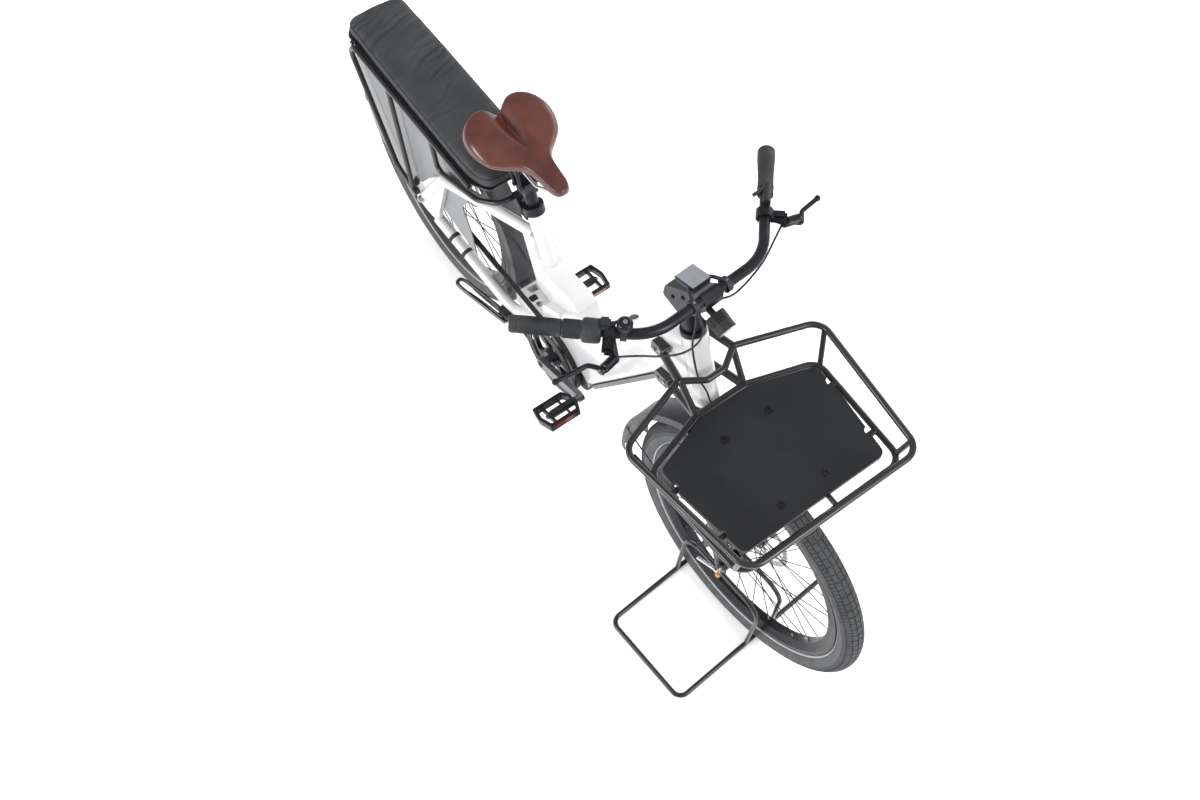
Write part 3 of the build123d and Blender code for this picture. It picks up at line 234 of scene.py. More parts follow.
# Amber reflector: grainy brown-orange under a clear gloss.
amber_reflector = make_finish("amber reflector", 500.0, "#58260F", "#7C3A17", Roughness=0.15, Coat_Weight=1.0)

# Orange moulded cap: plain, half matt.
amber_cap = make_finish("orange moulded cap", 90.0, "#C98232", "#D8913C", Roughness=0.4)

FINISH = {
    "white_gloss_paint": white_enamel, "black_satin_paint": black_powder, "black_plastic": black_nylon,
    "grey_plastic": grey_sheet, "grey_metal": grey_extrusion, "bare_aluminium": bare_aluminium,
    "black_aluminium": black_anodised, "steel": stainless, "tyre_rubber": tyre_rubber,
    "grip_rubber": grip_rubber, "brown_leather": saddle_hide, "black_fabric": black_canvas,
    "board_face": film_board, "screen_glass": screen_glass, "red_lens": red_acrylic}
for part in frame["record"]["subparts"]:
    for held in nodes[part["node"]].material_slots:
        held.material = FINISH[part["material_slot"]]
for name, own_finish in (("front_spokes", black_spoke), ("rear_spokes", black_spoke),
                         ("display", black_nylon), ("front_mudguard", guard_plastic),
                         ("rear_mudguard", grey_guard), ("crankset", grey_crank)):
    nodes[name].material_slots[0].material = own_finish

# ------------------------------------------------------------------ where things are

HEAD_ANGLE = radians(68.5)
HEAD_LOW = 760.0  # the height of the head tube's lower end
FORK_OFFSET = 50.0
REST_TURN = radians(4.2)  # how far the bars are turned at rest
WHEEL_RADIUS = 352.0
FRONT_HUB = Vector((670.0, 0.0, WHEEL_RADIUS))
REAR_HUB = Vector((-576.0, 0.0, WHEEL_RADIUS))
up_head = Vector((-cos(HEAD_ANGLE), 0.0, sin(HEAD_ANGLE)))
ahead_head = Vector((sin(HEAD_ANGLE), 0.0, cos(HEAD_ANGLE)))
beside_hub = FRONT_HUB - FORK_OFFSET * ahead_head
head_bottom = beside_hub + up_head * ((HEAD_LOW - beside_hub.z) / up_head.z)
steer = joints["steering"]
pivot = Vector(steer["pos_m"])
turned = (Matrix.Translation(pivot) @ Matrix.Rotation(REST_TURN, 4, Vector(steer["axis"]))
          @ Matrix.Translation(-pivot))
frame_place = Matrix.Translation(SHIFT) @ Matrix.Scale(0.001, 4)  # millimetres on the bicycle to the model
steered_place = turned @ frame_place
PLACE = {  # each body's millimetres to the model; a wheel's are measured from its hub
    "frame": frame_place, "crankset": frame_place, "right_pedal": frame_place, "left_pedal": frame_place,
    "steering": steered_place, "front_wheel": steered_place @ Matrix.Translation(FRONT_HUB),
    "rear_wheel": frame_place @ Matrix.Translation(REAR_HUB)}


def on_head(distance, forward=0.0, left=0.0):
    """A point by its distance up the steering axis from the head tube's lower end."""
    return head_bottom + up_head * distance + ahead_head * forward + Vector((0.0, left, 0.0))


def standing(point, direction):
    """The place of a turned shape whose own axis, Y, points along a direction."""
    turn = Vector((0.0, 1.0, 0.0)).rotation_difference(Vector(direction).normalized())
    return Matrix.Translation(Vector(point)) @ turn.to_matrix().to_4x4()


# ------------------------------------------------------------------ ways of making meshes


def shape(points, faces):
    """A mesh from points and faces, its doubles merged and its faces turned outwards."""
    mesh = bpy.data.meshes.new("shape")
    mesh.from_pydata([tuple(point) for point in points], [], faces)
    solid = bmesh.new()
    solid.from_mesh(mesh)
    bmesh.ops.remove_doubles(solid, verts=solid.verts, dist=0.0005)
    bmesh.ops.recalc_face_normals(solid, faces=solid.faces)
    solid.to_mesh(mesh)
    solid.free()
    return mesh


def lofted(rings, closed=False, ends=()):
    """A skin over rings of as many points each, closed into a loop or capped at the given rings."""
    count = len(rings[0])
    faces = []
    for ring in range(len(rings) if closed else len(rings) - 1):
        here, there = ring * count, (ring + 1) % len(rings) * count
        faces += [(here + i, here + (i + 1) % count, there + (i + 1) % count, there + i)
                  for i in range(count)]
    faces += [[ring % len(rings) * count + i for i in range(count)] for ring in ends]
    return shape([point for ring in rings for point in ring], faces)


def lathe(profile, steps=24):
    """A closed profile of (distance along Y, radius) points turned about Y."""
    turns = [tau * i / steps for i in range(steps)]
    return lofted([[(r * cos(turn), y, r * sin(turn)) for y, r in profile] for turn in turns], closed=True)


def bevelled(solid, width, edges=None):
    """A mesh from a bmesh, with some or all of its edges bevelled in two steps."""
    bmesh.ops.bevel(solid, geom=edges or solid.edges, offset=width, segments=2, affect="EDGES")
    mesh = bpy.data.meshes.new("bevelled")
    solid.to_mesh(mesh)
    solid.free()
    return mesh


def flat_box(low, high, bevel):
    """A box with bevelled edges between two corners."""
    solid = bmesh.new()
    bmesh.ops.create_cube(solid, size=1.0)
    for vertex in solid.verts:
        vertex.co = Vector([a + (b - a) * (c + 0.5) for a, b, c in zip(low, high, vertex.co)])
    return bevelled(solid, bevel)


def gathered(parts):
    """One mesh out of several, each at its place."""
    solid = bmesh.new()
    for mesh, place in parts:
        copy = mesh.copy()
        copy.transform(place)
        solid.from_mesh(copy)
        bpy.data.meshes.remove(copy)
    mesh = bpy.data.meshes.new("gathered")
    solid.to_mesh(mesh)
    solid.free()
    return mesh


def keep(name, mesh, finish, body, place=None, crease=35.0):
    """A finished piece: its mesh in place with its material, riding on its body."""
    mesh.name = name
    mesh.transform(PLACE[body] if place is None else place)
    mesh.materials.clear()
    mesh.materials.append(finish)
    mesh.polygons.foreach_set("use_smooth", [True] * len(mesh.polygons))
    mesh.set_sharp_from_angle(angle=radians(crease))
    made = bpy.data.objects.new(name, mesh)
    scene.collection.objects.link(made)
    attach(made, body)
    return made


def arc(start, through, end, steps):
    """Points of the circle arc through three (y, radius) points, the last left out."""
    (ax, ay), (bx, by), (cx, cy) = start, through, end
    scale = 2 * (ax * (by - cy) + bx * (cy - ay) + cx * (ay - by))
    a_square, b_square, c_square = ax**2 + ay**2, bx**2 + by**2, cx**2 + cy**2
    middle_x = (a_square * (by - cy) + b_square * (cy - ay) + c_square * (ay - by)) / scale
    middle_y = (a_square * (cx - bx) + b_square * (ax - cx) + c_square * (bx - ax)) / scale
    radius = sqrt((ax - middle_x)**2 + (ay - middle_y)**2)
    first = atan2(ay - middle_y, ax - middle_x)
    turn = (atan2(cy - middle_y, cx - middle_x) - first + pi) % tau - pi
    return [(middle_x + radius * cos(first + turn * i / steps),
             middle_y + radius * sin(first + turn * i / steps)) for i in range(steps)]


def start_tree(title, **sockets):
    """A geometry tree with named inputs, their identifiers and the node that gives them."""
    tree = bpy.data.node_groups.new(title, "GeometryNodeTree")
    names = {}
    for name, kind in sockets.items():
        socket = tree.interface.new_socket(name, in_out="INPUT", socket_type="NodeSocket" + kind)
        names[name] = socket.identifier
    tree.interface.new_socket("Copies", in_out="OUTPUT", socket_type="NodeSocketGeometry")
    return tree, names, add_node(tree, "NodeGroupInput").outputs


def end_tree(tree, given, points, copy, rotation):
    """Set copies on a tree's points, make them real, give them their finish and send them out."""
    copies = add_node(tree, "GeometryNodeInstanceOnPoints", Points=points, Instance=copy, Rotation=rotation)
    real = add_node(tree, "GeometryNodeRealizeInstances", Geometry=copies.outputs[0])
    painted = add_node(tree, "GeometryNodeSetMaterial", Geometry=real.outputs[0], Material=given["Finish"])
    tree.links.new(painted.outputs[0], add_node(tree, "NodeGroupOutput").inputs[0])


# Geometry nodes: copies of one pitch set evenly round the Y axis.
ring_tree, ring_inputs, ring_given = start_tree("copies round an axle", Pitch="Geometry", Count="Int",
                                                Finish="Material")
share = add_node(ring_tree, "ShaderNodeMath", {"operation": "DIVIDE"}, {0: tau})
ring_tree.links.new(ring_given["Count"], share.inputs[1])
angle = add_node(ring_tree, "ShaderNodeMath", {"operation": "MULTIPLY"})
ring_tree.links.new(add_node(ring_tree, "GeometryNodeInputIndex").outputs[0], angle.inputs[0])
ring_tree.links.new(share.outputs[0], angle.inputs[1])
starts = add_node(ring_tree, "GeometryNodePoints", Count=ring_given["Count"])
swing = add_node(ring_tree, "ShaderNodeCombineXYZ", Y=angle.outputs[0])
end_tree(ring_tree, ring_given, starts.outputs[0], ring_given["Pitch"], swing.outputs[0])

# Geometry nodes: copies of a small shape set along a run of edges, a set distance apart.
row_tree, row_inputs, row_given = start_tree("copies along a line", Line="Geometry", Copy="Object",
                                             Distance="Float", Finish="Material")
run = add_node(row_tree, "GeometryNodeMeshToCurve", Mesh=row_given["Line"])
even = add_node(row_tree, "GeometryNodeCurveToPoints", {"mode": "LENGTH"}, Curve=run.outputs[0],
                Length=row_given["Distance"])
shown = add_node(row_tree, "GeometryNodeObjectInfo", Object=row_given["Copy"])
end_tree(row_tree, row_given, even.outputs["Points"], shown.outputs["Geometry"], even.outputs["Rotation"])


def evaluated(made):
    """A plain mesh of what an object's modifiers or bevel make of it."""
    return bpy.data.meshes.new_from_object(made.evaluated_get(bpy.context.evaluated_depsgraph_get()))


def grown(mesh, tree, names, values):
    """Run a tree on a mesh and give the result as a plain mesh."""
    holder = bpy.data.objects.new("holder", mesh)
    scene.collection.objects.link(holder)
    modifier = holder.modifiers.new("nodes", "NODES")
    modifier.node_group = tree
    for title, value in values.items():
        modifier[names[title]] = value
    result = evaluated(holder)
    bpy.data.objects.remove(holder)
    return result


def ring_of(mesh, count, finish):
    """Copies of a mesh evenly round Y."""
    return grown(mesh, ring_tree, ring_inputs, {"Count": count, "Finish": finish})


def row_of(points, copy, distance, finish, closed=False):
    """Copies of a mesh a set distance apart along a line; each copy's Z lies along the line."""
    line = bpy.data.meshes.new("line")
    edges = [(i, i + 1) for i in range(len(points) - 1)] + ([(len(points) - 1, 0)] if closed else [])
    line.from_pydata([tuple(point) for point in points], edges, [])
    shown = bpy.data.objects.new("copy", copy)
    scene.collection.objects.link(shown)
    result = grown(line, row_tree, row_inputs, {"Copy": shown, "Distance": distance, "Finish": finish})
    bpy.data.objects.remove(shown)
    return result


def tube(name, points, radius, resolution, closed=False):
    """A smooth round tube along points, as a curve."""
    curve = bpy.data.curves.new(name, "CURVE")
    curve.dimensions = "3D"
    spline = curve.splines.new("NURBS")
    spline.points.add(len(points) - 1)
    for knot, point in zip(spline.points, points):
        knot.co = (*point, 1.0)
    spline.order_u = 3
    spline.use_endpoint_u = not closed
    spline.use_cyclic_u = closed
    spline.resolution_u = resolution
    curve.bevel_depth = radius
    curve.bevel_resolution = 3
    curve.use_fill_caps = not closed
    made = bpy.data.objects.new(name, curve)
    scene.collection.objects.link(made)
    return made


def pipe(name, points, radius, finish, closed=False):
    """A round bar or piping on the frame, made a mesh."""
    holder = tube(name, points, radius, 6, closed)
    mesh = evaluated(holder)
    bpy.data.objects.remove(holder)
    return keep(name, mesh, finish, "frame")


# ------------------------------------------------------------------ hoses and cables


def hose(name, points, node, body):
    """A brake hose or cable, held at both ends: a smooth spline through its route's points."""
    place = PLACE[body]
    made = tube(name, [place @ Vector(point) for point in points], 0.0022, 8)
    made.data.materials.append(hose_sheath)
    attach(made, body)
    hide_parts(node)


hose("right_lever_hose", [(379, -206, 1050), (393, -168, 1034), (421, -124, 1019), (441, -80, 1013),
                          (440, -38, 1022), (416, -20, 1042), (396, -19, 1048)],
     "front_hoses", "steering")
hose("left_lever_hose", [(358, 240, 1064), (377, 200, 1068), (401, 150, 1070), (414, 108, 1074),
                         (423, 62, 1074), (423, 34, 1074), (409, 14, 1070)],
     "front_hoses", "steering")
hose("front_brake_hose", [(391, -14, 1036), on_head(246, 42, -20), on_head(200, 28, -29),
                          on_head(150, 25.5, -30), on_head(95, 26, -29), on_head(58, 33.5, -18),
                          on_head(22, 34, -16), on_head(-13, 70, -4), on_head(-64, 88, 22),
                          on_head(-106, 86, 58), on_head(-156, 70, 82), on_head(-208, 50, 89.5),
                          on_head(-262, 37, 89.5), on_head(-305, 24, 87), on_head(-345, 14, 74),
     (612, 51, 406)], "front_hoses", "steering")
hose("rear_cable", [(-128, 22, 372), (-150, 19, 398), (-182, 14, 412), (-214, 9, 430), (-227, 3, 460),
                    (-241, -6, 497), (-257, -26, 536), (-272, -43, 588), (-286, -57, 634)],
     "rear_cables", "frame")

# ------------------------------------------------------------------ wheels

SECTION = 29.0  # the tyre's section is 58 mm wide
SECTION_CENTRE = WHEEL_RADIUS - SECTION
TREAD_EDGE = 62.0  # degrees from the crown to the tread's shoulder, round the section
PITCHES = 110  # tread pitches, 20 mm long
SWEEP = 3.0  # how far a row of blocks curves along the tread towards its shoulder
BLOCK_FOOT = 25.9  # the radius of the section that the blocks stand on
RIB_FOOT = 28.2
TREAD_DEPTH, WALL_DEPTH = 2.6, 0.4  # the casing's depth below the section's outline
TYRE_STEPS = 180
RIM_SEAT = 266.1  # the nipples' radius in the rim


def on_tyre(around, along, height):
    """A point on the tyre: degrees round its section, millimetres along it, radius of the section."""
    turn = (along + SWEEP * (around / TREAD_EDGE)**2) / WHEEL_RADIUS
    reach = SECTION_CENTRE + height * cos(radians(around))
    return reach * cos(turn), height * sin(radians(around)), reach * sin(turn)


def tread_block(low, high, start, stop, foot, bevel):
    """A tread block: a curved top on sloping walls."""
    points = []
    for height, inset in ((foot, 0.0), (SECTION, bevel)):
        swing = inset / 0.5  # half a millimetre to the degree
        for step in range(3):
            around = low + swing + (high - low - 2 * swing) * step / 2
            points += [on_tyre(around, start + inset, height), on_tyre(around, stop - inset, height)]
    faces = [(6, 7, 9, 8), (8, 9, 11, 10), (0, 2, 8, 6), (2, 4, 10, 8), (1, 7, 9, 3), (3, 9, 11, 5),
             (0, 6, 7, 1), (4, 5, 11, 10), (0, 1, 3, 2), (2, 3, 5, 4)]
    return shape(points, faces)


def make_tyre(end):
    """A tyre: casing, rows of tread blocks, fine ribs on the shoulders and a reflective band on each side."""
    name, body, node = end + "_tyre_casing", end + "_wheel", end + "_tyre"
    wall = arc((15.7, 297.5), (24.94, 309.25), (SECTION, SECTION_CENTRE), 8)
    half = [(15.7, 292.0)] + wall
    for around in range(90, -1, -5):
        depth = WALL_DEPTH if around > TREAD_EDGE + 3 else TREAD_DEPTH
        half.append(((SECTION - depth) * sin(radians(around)),
                     SECTION_CENTRE + (SECTION - depth) * cos(radians(around))))
    casing = lathe(half + [(-y, r) for y, r in reversed(half[:-1])], TYRE_STEPS)
    pitch = WHEEL_RADIUS * tau / PITCHES
    blocks = []
    for middle in (-26.0, 0.0, 26.0):
        blocks.append(tread_block(middle - 11.6, middle + 11.6, 0.9, pitch - 0.9, BLOCK_FOOT, 0.5))
    for sign in (-1, 1):
        for start in (0.0, pitch / 2):
            ends = sorted((sign * 39.6, sign * TREAD_EDGE))
            blocks.append(tread_block(*ends, start + 0.7, start + pitch / 2 - 0.7, BLOCK_FOOT, 0.4))
        for start in range(4):
            ends = sorted((sign * 66.0, sign * 89.0))
            blocks.append(tread_block(*ends, start * pitch / 4 + 1.4, start * pitch / 4 + 3.6, RIB_FOOT, 0.2))
    tread = ring_of(gathered([(block, Matrix()) for block in blocks]), PITCHES, tyre_rubber)
    tyre = keep(name, casing, tyre_casing, body, crease=30)
    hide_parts(node)
    keep(name + "_blocks", tread, tyre_rubber, body, crease=30)
    bands = []
    for sign in (-1, 1):
        path = [(y, r) for y, r in wall if 299 < r < 304.5]
        outer = [(sign * (y + 0.35), r - 0.25) for y, r in path]
        under = [(sign * (y - 0.5), r) for y, r in reversed(path)]
        bands.append((lathe(outer + under, TYRE_STEPS), Matrix()))
    keep(name + "_band", gathered(bands), reflective_band, body)


make_tyre("front")
make_tyre("rear")


def make_nipples(name, body, flange_radius, flange_offset):
    """Spoke nipples at the rim and the spokes' bent heads at the hub's flanges."""
    nipple = lathe([(0.0, 0.0), (0.0, 1.7), (7.0, 1.9), (9.5, 3.1), (10.5, 3.1), (10.5, 0.0)], 8)
    head = lathe([(-5.4, 0.0), (-5.4, 1.8), (-4.4, 2.3), (-3.9, 2.3), (-3.9, 1.1), (4.4, 1.1), (4.4, 0.0)], 8)
    quarter = []
    for left in (1, -1):
        for number in range(2):
            lean = 1 if number % 2 else -1
            start = radians(number * 22.5 + (11.25 if left > 0 else 0))
            end = start + radians(40) * lean
            reach = flange_radius + 1.6
            inner = Vector((reach * cos(start), left * (flange_offset + 2.2 * lean), reach * sin(start)))
            outer = Vector((RIM_SEAT * cos(end), left * 3.0, RIM_SEAT * sin(end)))
            way = (outer - inner).normalized()
            quarter.append((nipple, standing(outer - way * 9.5, way)))
            seat = flange_radius - 4
            spot = Vector((seat * cos(start), left * flange_offset, seat * sin(start)))
            quarter.append((head, standing(spot, (0, left * -lean, 0))))
    keep(name, ring_of(gathered(quarter), 8, stainless), stainless, body)


make_nipples("front_nipples", "front_wheel", 27.0, 29.0)
make_nipples("rear_nipples", "rear_wheel", 46.0, 27.0)
valve = lathe([(-6, 0), (-6, 7), (-2, 7.5), (0, 3.2), (24, 3.2), (25, 4.2), (38, 4.2), (40, 2.5),
               (40, 0)], 16)
VALVE_TURN = radians(263.0)
valve_out = Vector((cos(VALVE_TURN), 0.0, sin(VALVE_TURN)))
for end in ("front", "rear"):
    keep(end + "_valve", gathered([(valve, standing(valve_out * 268.0, -valve_out))]), grip_rubber,
         end + "_wheel")


# ------------------------------------------------------------------ saddle


def smooth_loop(points, count):
    """Even points on a closed Catmull-Rom curve through a few points."""
    dense = []
    for i in range(len(points)):
        a, b, c, d = (Vector(points[(i + k) % len(points)]) for k in (-1, 0, 1, 2))
        for step in range(24):
            t = step / 24
            dense.append(0.5 * (2 * b + (c - a) * t + (2 * a - 5 * b + 4 * c - d) * t**2
                                + (3 * b - a - 3 * c + d) * t**3))
    lengths = [0.0]
    for a, b in zip(dense, dense[1:] + dense[:1]):
        lengths.append(lengths[-1] + (b - a).length)
    even = []
    span = 0
    for i in range(count):
        want = lengths[-1] * i / count
        while lengths[span + 1] < want:
            span += 1
        share = (want - lengths[span]) / (lengths[span + 1] - lengths[span])
        even.append(dense[span].lerp(dense[(span + 1) % len(dense)], share))
    return even


def inset_ring(outline, inset, height):
    """An anticlockwise outline moved inwards, its height worked out from X and Y."""
    ring = []
    for i, edge in enumerate(outline):
        along = outline[(i + 1) % len(outline)] - outline[i - 1]
        point = edge + Vector((-along.y, along.x)).normalized() * inset
        ring.append((point.x, point.y, height(point.x, point.y)))
    return ring


def ease(value):
    """0 below 0, 1 above 1 and smooth between."""
    value = min(max(value, 0.0), 1.0)
    return value * value * (3 - 2 * value)


SADDLE_EDGE = 911.0  # the height of the nose's edge
SEAM_DROP = 15.0  # from the padding's edge down to the cover's side
SPINE_BACK, SPINE_NOSE = -268.0, -84.0  # the line that the top's rings shrink to
SADDLE_HALF = [(-56, 14), (-72, 22), (-104, 25.5), (-138, 31), (-160, 43), (-180, 67), (-204, 91),
               (-238, 104), (-276, 104), (-306, 90), (-323, 66), (-326, 42), (-315, 17)]
saddle_plan = smooth_loop([(-52, 0)] + SADDLE_HALF + [(-303, 0)]
                          + [(x, -y) for x, y in reversed(SADDLE_HALF)], 160)


def saddle_top(x, y):
    """The padding's height: a dipped nose, two crowned lobes and a channel between them."""
    base = SADDLE_EDGE + 11.0 * ease((-135.0 - x) / 120.0) - 2.5 * ease((x + 100.0) / 45.0)
    back = ease((-175.0 - x) / 90.0)
    lobe = 8.0 * back * (1 - ((abs(y) - 50.0) / 52.0)**2)
    run = ease((-158.0 - x) / 100.0)
    channel = 21.0 * run * max(0.0, 1 - abs(y) / (7.0 + 24.0 * run))**1.25
    nose = 2.0 * (1 - back) * (1 - (y / 30.0)**2)
    return base + lobe + nose - channel


def edge_height(x, y, drop):
    """The height of the padding's edge, lower under the lobes than along the nose."""
    return SADDLE_EDGE + 9.0 * ease((-135.0 - x) / 120.0) - drop * (0.72 + 0.28 * ease((-120.0 - x) / 80.0))


def saddle_ring(inset, drop):
    """The saddle's outline moved inwards and dropped below its edge."""
    return inset_ring(saddle_plan, inset, lambda x, y: edge_height(x, y, drop))


# shares of the way from the spine to the outline; the shoulder's rings also fall towards the seam
CROWN = (0.0, 0.03, 0.06, 0.09, 0.12, 0.155, 0.19, 0.23, 0.28, 0.34, 0.41, 0.49, 0.58, 0.68, 0.78, 0.86)
SHOULDER = [(0.92, 1.6), (0.965, 5.0), (0.992, 10.0), (1.0, 15.0)]
rings = []
for share, fall in [(share, 0.0) for share in CROWN] + SHOULDER:
    ring = []
    for edge in saddle_plan:
        spine = Vector((min(max(edge.x, SPINE_BACK), SPINE_NOSE), 0.0))
        x, y = spine.lerp(edge, share)
        height = saddle_top(x, y) * (1 - fall / SEAM_DROP) + edge_height(x, y, SEAM_DROP) * fall / SEAM_DROP
        ring.append((x, y, height))
    rings.append(ring)
rings += [saddle_ring(inset, drop) for inset, drop in (
    (0.4, 19.0), (1.3, 20.0), (0.5, 21.0), (0.9, 25.0), (1.8, 26.0), (1.4, 27.0), (4.5, 32.0), (8.5, 35.0),
    (16.0, 35.5))]
saddle_mesh = lofted(rings, ends=(-1,))
solid = bmesh.new()
solid.from_mesh(saddle_mesh)
for number in range(2):
    padding = [vertex for vertex in solid.verts if vertex.co.z > 896]
    bmesh.ops.smooth_vert(solid, verts=padding, factor=0.35, use_axis_x=True, use_axis_y=True,
                          use_axis_z=True)
bmesh.ops.triangulate(solid, faces=[face for face in solid.faces if len(face.verts) > 4])
solid.to_mesh(saddle_mesh)
solid.free()
saddle = keep("saddle_cover", saddle_mesh, saddle_hide, "frame", crease=180)
smoother = saddle.modifiers.new("smooth", "SUBSURF")
smoother.levels = smoother.render_levels = 1
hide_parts("saddle")

thread = lathe([(-1.7, 0.0), (-1.7, 0.3), (-1.0, 0.55), (1.0, 0.55), (1.7, 0.3), (1.7, 0.0)], 6)
thread.transform(Matrix.Rotation(radians(90), 4, "X"))
stitches = [(row_of(saddle_ring(inset, drop), thread, 4.6, saddle_thread, closed=True), Matrix())
            for inset, drop in ((0.3, 18.2), (0.2, 22.6))]
keep("saddle_stitching", gathered(stitches), saddle_thread, "frame")

# ------------------------------------------------------------------ rear cushion

CUSHION_LOW = 723.2  # the height of its underside
MOST_SWELL = 0.006  # how far the filling may push the cover, in metres
CUSHION_HALF = [(-868, 30), (-866, 56), (-846, 78), (-780, 83), (-690, 86), (-500, 87), (-345, 87),
                (-290, 78), (-258, 58), (-254, 30)]
cushion_plan = smooth_loop([(-869, 0)] + CUSHION_HALF + [(-253, 0)]
                           + [(x, -y) for x, y in reversed(CUSHION_HALF)], 260)


def cushion_ring(inset, height):
    """The cushion's outline, which runs clockwise, moved inwards at one height."""
    return inset_ring(cushion_plan, -inset, lambda x, y: height)


cushion_mesh = lofted([cushion_ring(2.5, CUSHION_LOW), cushion_ring(1.0, 730.0), cushion_ring(1.5, 745.0),
                       cushion_ring(4.5, 751.0), cushion_ring(11.0, 754.5)], ends=(0, -1))
cushion_mesh.transform(frame_place)
cushion = bpy.data.objects.new("cushion_cover", cushion_mesh)
scene.collection.objects.link(cushion)


def applied(piece):
    """Replace a piece's mesh by what its modifiers make of it."""
    made = evaluated(piece)
    piece.modifiers.clear()
    piece.data = made


voxels = cushion.modifiers.new("voxels", "REMESH")
voxels.mode = "VOXEL"
voxels.voxel_size = 0.006
applied(cushion)
rest_points = [vertex.co.copy() for vertex in cushion.data.vertices]
cloth = cushion.modifiers.new("cloth", "CLOTH")
cloth.settings.use_pressure = True
cloth.settings.uniform_pressure_force = 4.0
cloth.settings.effector_weights.gravity = 0.0
cloth.settings.mass = 0.3
for number in range(1, 21):
    scene.frame_set(number)
applied(cushion)
scene.frame_set(1)
floor_height = CUSHION_LOW / 1000
for vertex, start in zip(cushion.data.vertices, rest_points):
    move = vertex.co - start
    vertex.co = start + move * min(1.0, MOST_SWELL / max(move.length, 0.0001))
    vertex.co.z = max(vertex.co.z, floor_height)
fine = cushion.modifiers.new("fine", "SUBSURF")
fine.levels = fine.render_levels = 1
applied(cushion)


def pucker(x, y, seed):
    """How far the cover is drawn into folds that run across the cushion, in millimetres."""
    drift = 26.0 * noise.noise(Vector((x / 90.0, y / 70.0, seed)))
    along = x + 0.22 * y + drift
    fold = noise.noise(Vector((along / 21.0, y / 150.0, seed + 4.0)))
    sharp = noise.noise(Vector((along / 11.0, y / 110.0, seed + 9.0)))
    patch = ease(0.55 + 1.2 * noise.noise(Vector((x / 120.0, y / 80.0, seed + 15.0))))
    return patch * (4.8 * (1 - abs(fold) * 3.2) + 1.5 * (1 - abs(sharp) * 3.0))


back = frame_place.inverted()
for vertex in cushion.data.vertices:
    spot = back @ vertex.co
    top = ease((spot.z - 745.0) / 8.0)
    edge = 1 - ease((abs(spot.y) - 66.0) / 18.0) * 0.75
    if top > 0:
        vertex.co.z += top * edge * pucker(spot.x, spot.y, 2.0) / 1000
    elif spot.z > 726:
        side = 1 if spot.y > 0 else -1
        vertex.co.y += 0.0006 * noise.noise(Vector((spot.x / 16.0, spot.z / 30.0, 3.0))) * side
cushion.data.materials.clear()
cushion.data.materials.append(black_canvas)
cushion.data.polygons.foreach_set("use_smooth", [True] * len(cushion.data.polygons))
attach(cushion, "frame")
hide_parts("carrier_cushion")
cover = BVHTree.FromPolygons([back @ vertex.co for vertex in cushion.data.vertices],
                             [polygon.vertices[:] for polygon in cushion.data.polygons])
for name, height, radius in (("cushion_piping", 752.0, 2.0), ("cushion_lower_piping", 727.0, 1.6)):
    seam = [cover.find_nearest(Vector(point))[0] for point in cushion_ring(0.0, height)[::3]]
    pipe(name, seam, radius, black_binding, closed=True)

# ------------------------------------------------------------------ bolts and screws


def socket_bolt(radius, height, sides=24):
    """A round bolt head on Y, domed at its edge, with a hexagonal socket."""
    socket = radius * 0.42
    rings = []
    for along, size, hexagon in ((0.0, radius, False), (height * 0.62, radius, False),
                                 (height * 0.9, radius * 0.9, False), (height, radius * 0.72, False),
                                 (height, socket * 1.08, True), (height - 0.3, socket, True),
                                 (height * 0.25, socket * 0.96, True)):
        ring = []
        for i in range(sides):
            turn = tau * i / sides
            reach = size * (cos(pi / 6) / cos((turn + pi / 6) % (pi / 3) - pi / 6) if hexagon else 1.0)
            ring.append((reach * cos(turn), along, reach * sin(turn)))
        rings.append(ring)
    return lofted(rings, ends=(0, -1))


def bolts(name, finish, body, radius, height, spots):
    """A set of like bolts, each given by its place and its outward direction."""
    head = socket_bolt(radius, height)
    keep(name, gathered([(head, standing(spot, way)) for spot, way in spots]), finish, body)


CARRIER_SLOPE = radians(2.6)
CARRIER_X, CARRIER_Z = 749.0, 822.0  # the point that the front carrier slopes about
carrier_x = Vector((cos(CARRIER_SLOPE), 0.0, sin(CARRIER_SLOPE)))
carrier_z = Vector((-sin(CARRIER_SLOPE), 0.0, cos(CARRIER_SLOPE)))


def on_carrier(x, y, height):
    """A point of the front carrier from its place before the carrier is sloped."""
    return Vector((CARRIER_X, y, CARRIER_Z)) + carrier_x * (x - CARRIER_X) + carrier_z * (height - CARRIER_Z)


washer = lathe([(0.0, 4.2), (0.0, 9.0), (0.9, 9.0), (1.2, 8.4), (1.2, 4.2)], 28)
keep("board_washers", gathered([(washer, standing(on_carrier(x, y, 841.3), carrier_z))
                                for x in (575, 749) for y in (-57, 57)]),
     black_anodised, "frame")
bolts("board_bolts", black_anodised, "frame", 6.2, 3.0,
      [(on_carrier(x, y, 842.2), carrier_z) for x in (575, 749) for y in (-57, 57)])
bolts("carrier_clamp_bolts", stainless, "frame", 4.5, 3.4,
      [((x, sign * out, z), (0, sign, 0)) for sign in (1, -1)
       for x, z, out in ((341, 861, 57.9), (358, 878, 57.9), (361, 768, 55.9), (381, 778, 55.9))])
for end in ("front", "rear"):
    bolts(end + "_disc_bolts", stainless, end + "_wheel", 3.4, 2.0,
          [((22 * cos(k * tau / 6), 43.0, 22 * sin(k * tau / 6)), (0, 1, 0)) for k in range(6)])


# ------------------------------------------------------------------ cockpit details

GRIP_END = Vector((220.0, 323.0, 1083.0))
BAR_TAIL = (Vector((403.0, 140.0, 1089.0)) - GRIP_END).normalized()


def on_grip(distance, sign, forward=0.0, up=0.0):
    """A point by its distance from the bar's end along the grip."""
    point = GRIP_END + BAR_TAIL * distance + Vector((forward, 0.0, up))
    return Vector((point.x, sign * point.y, point.z))


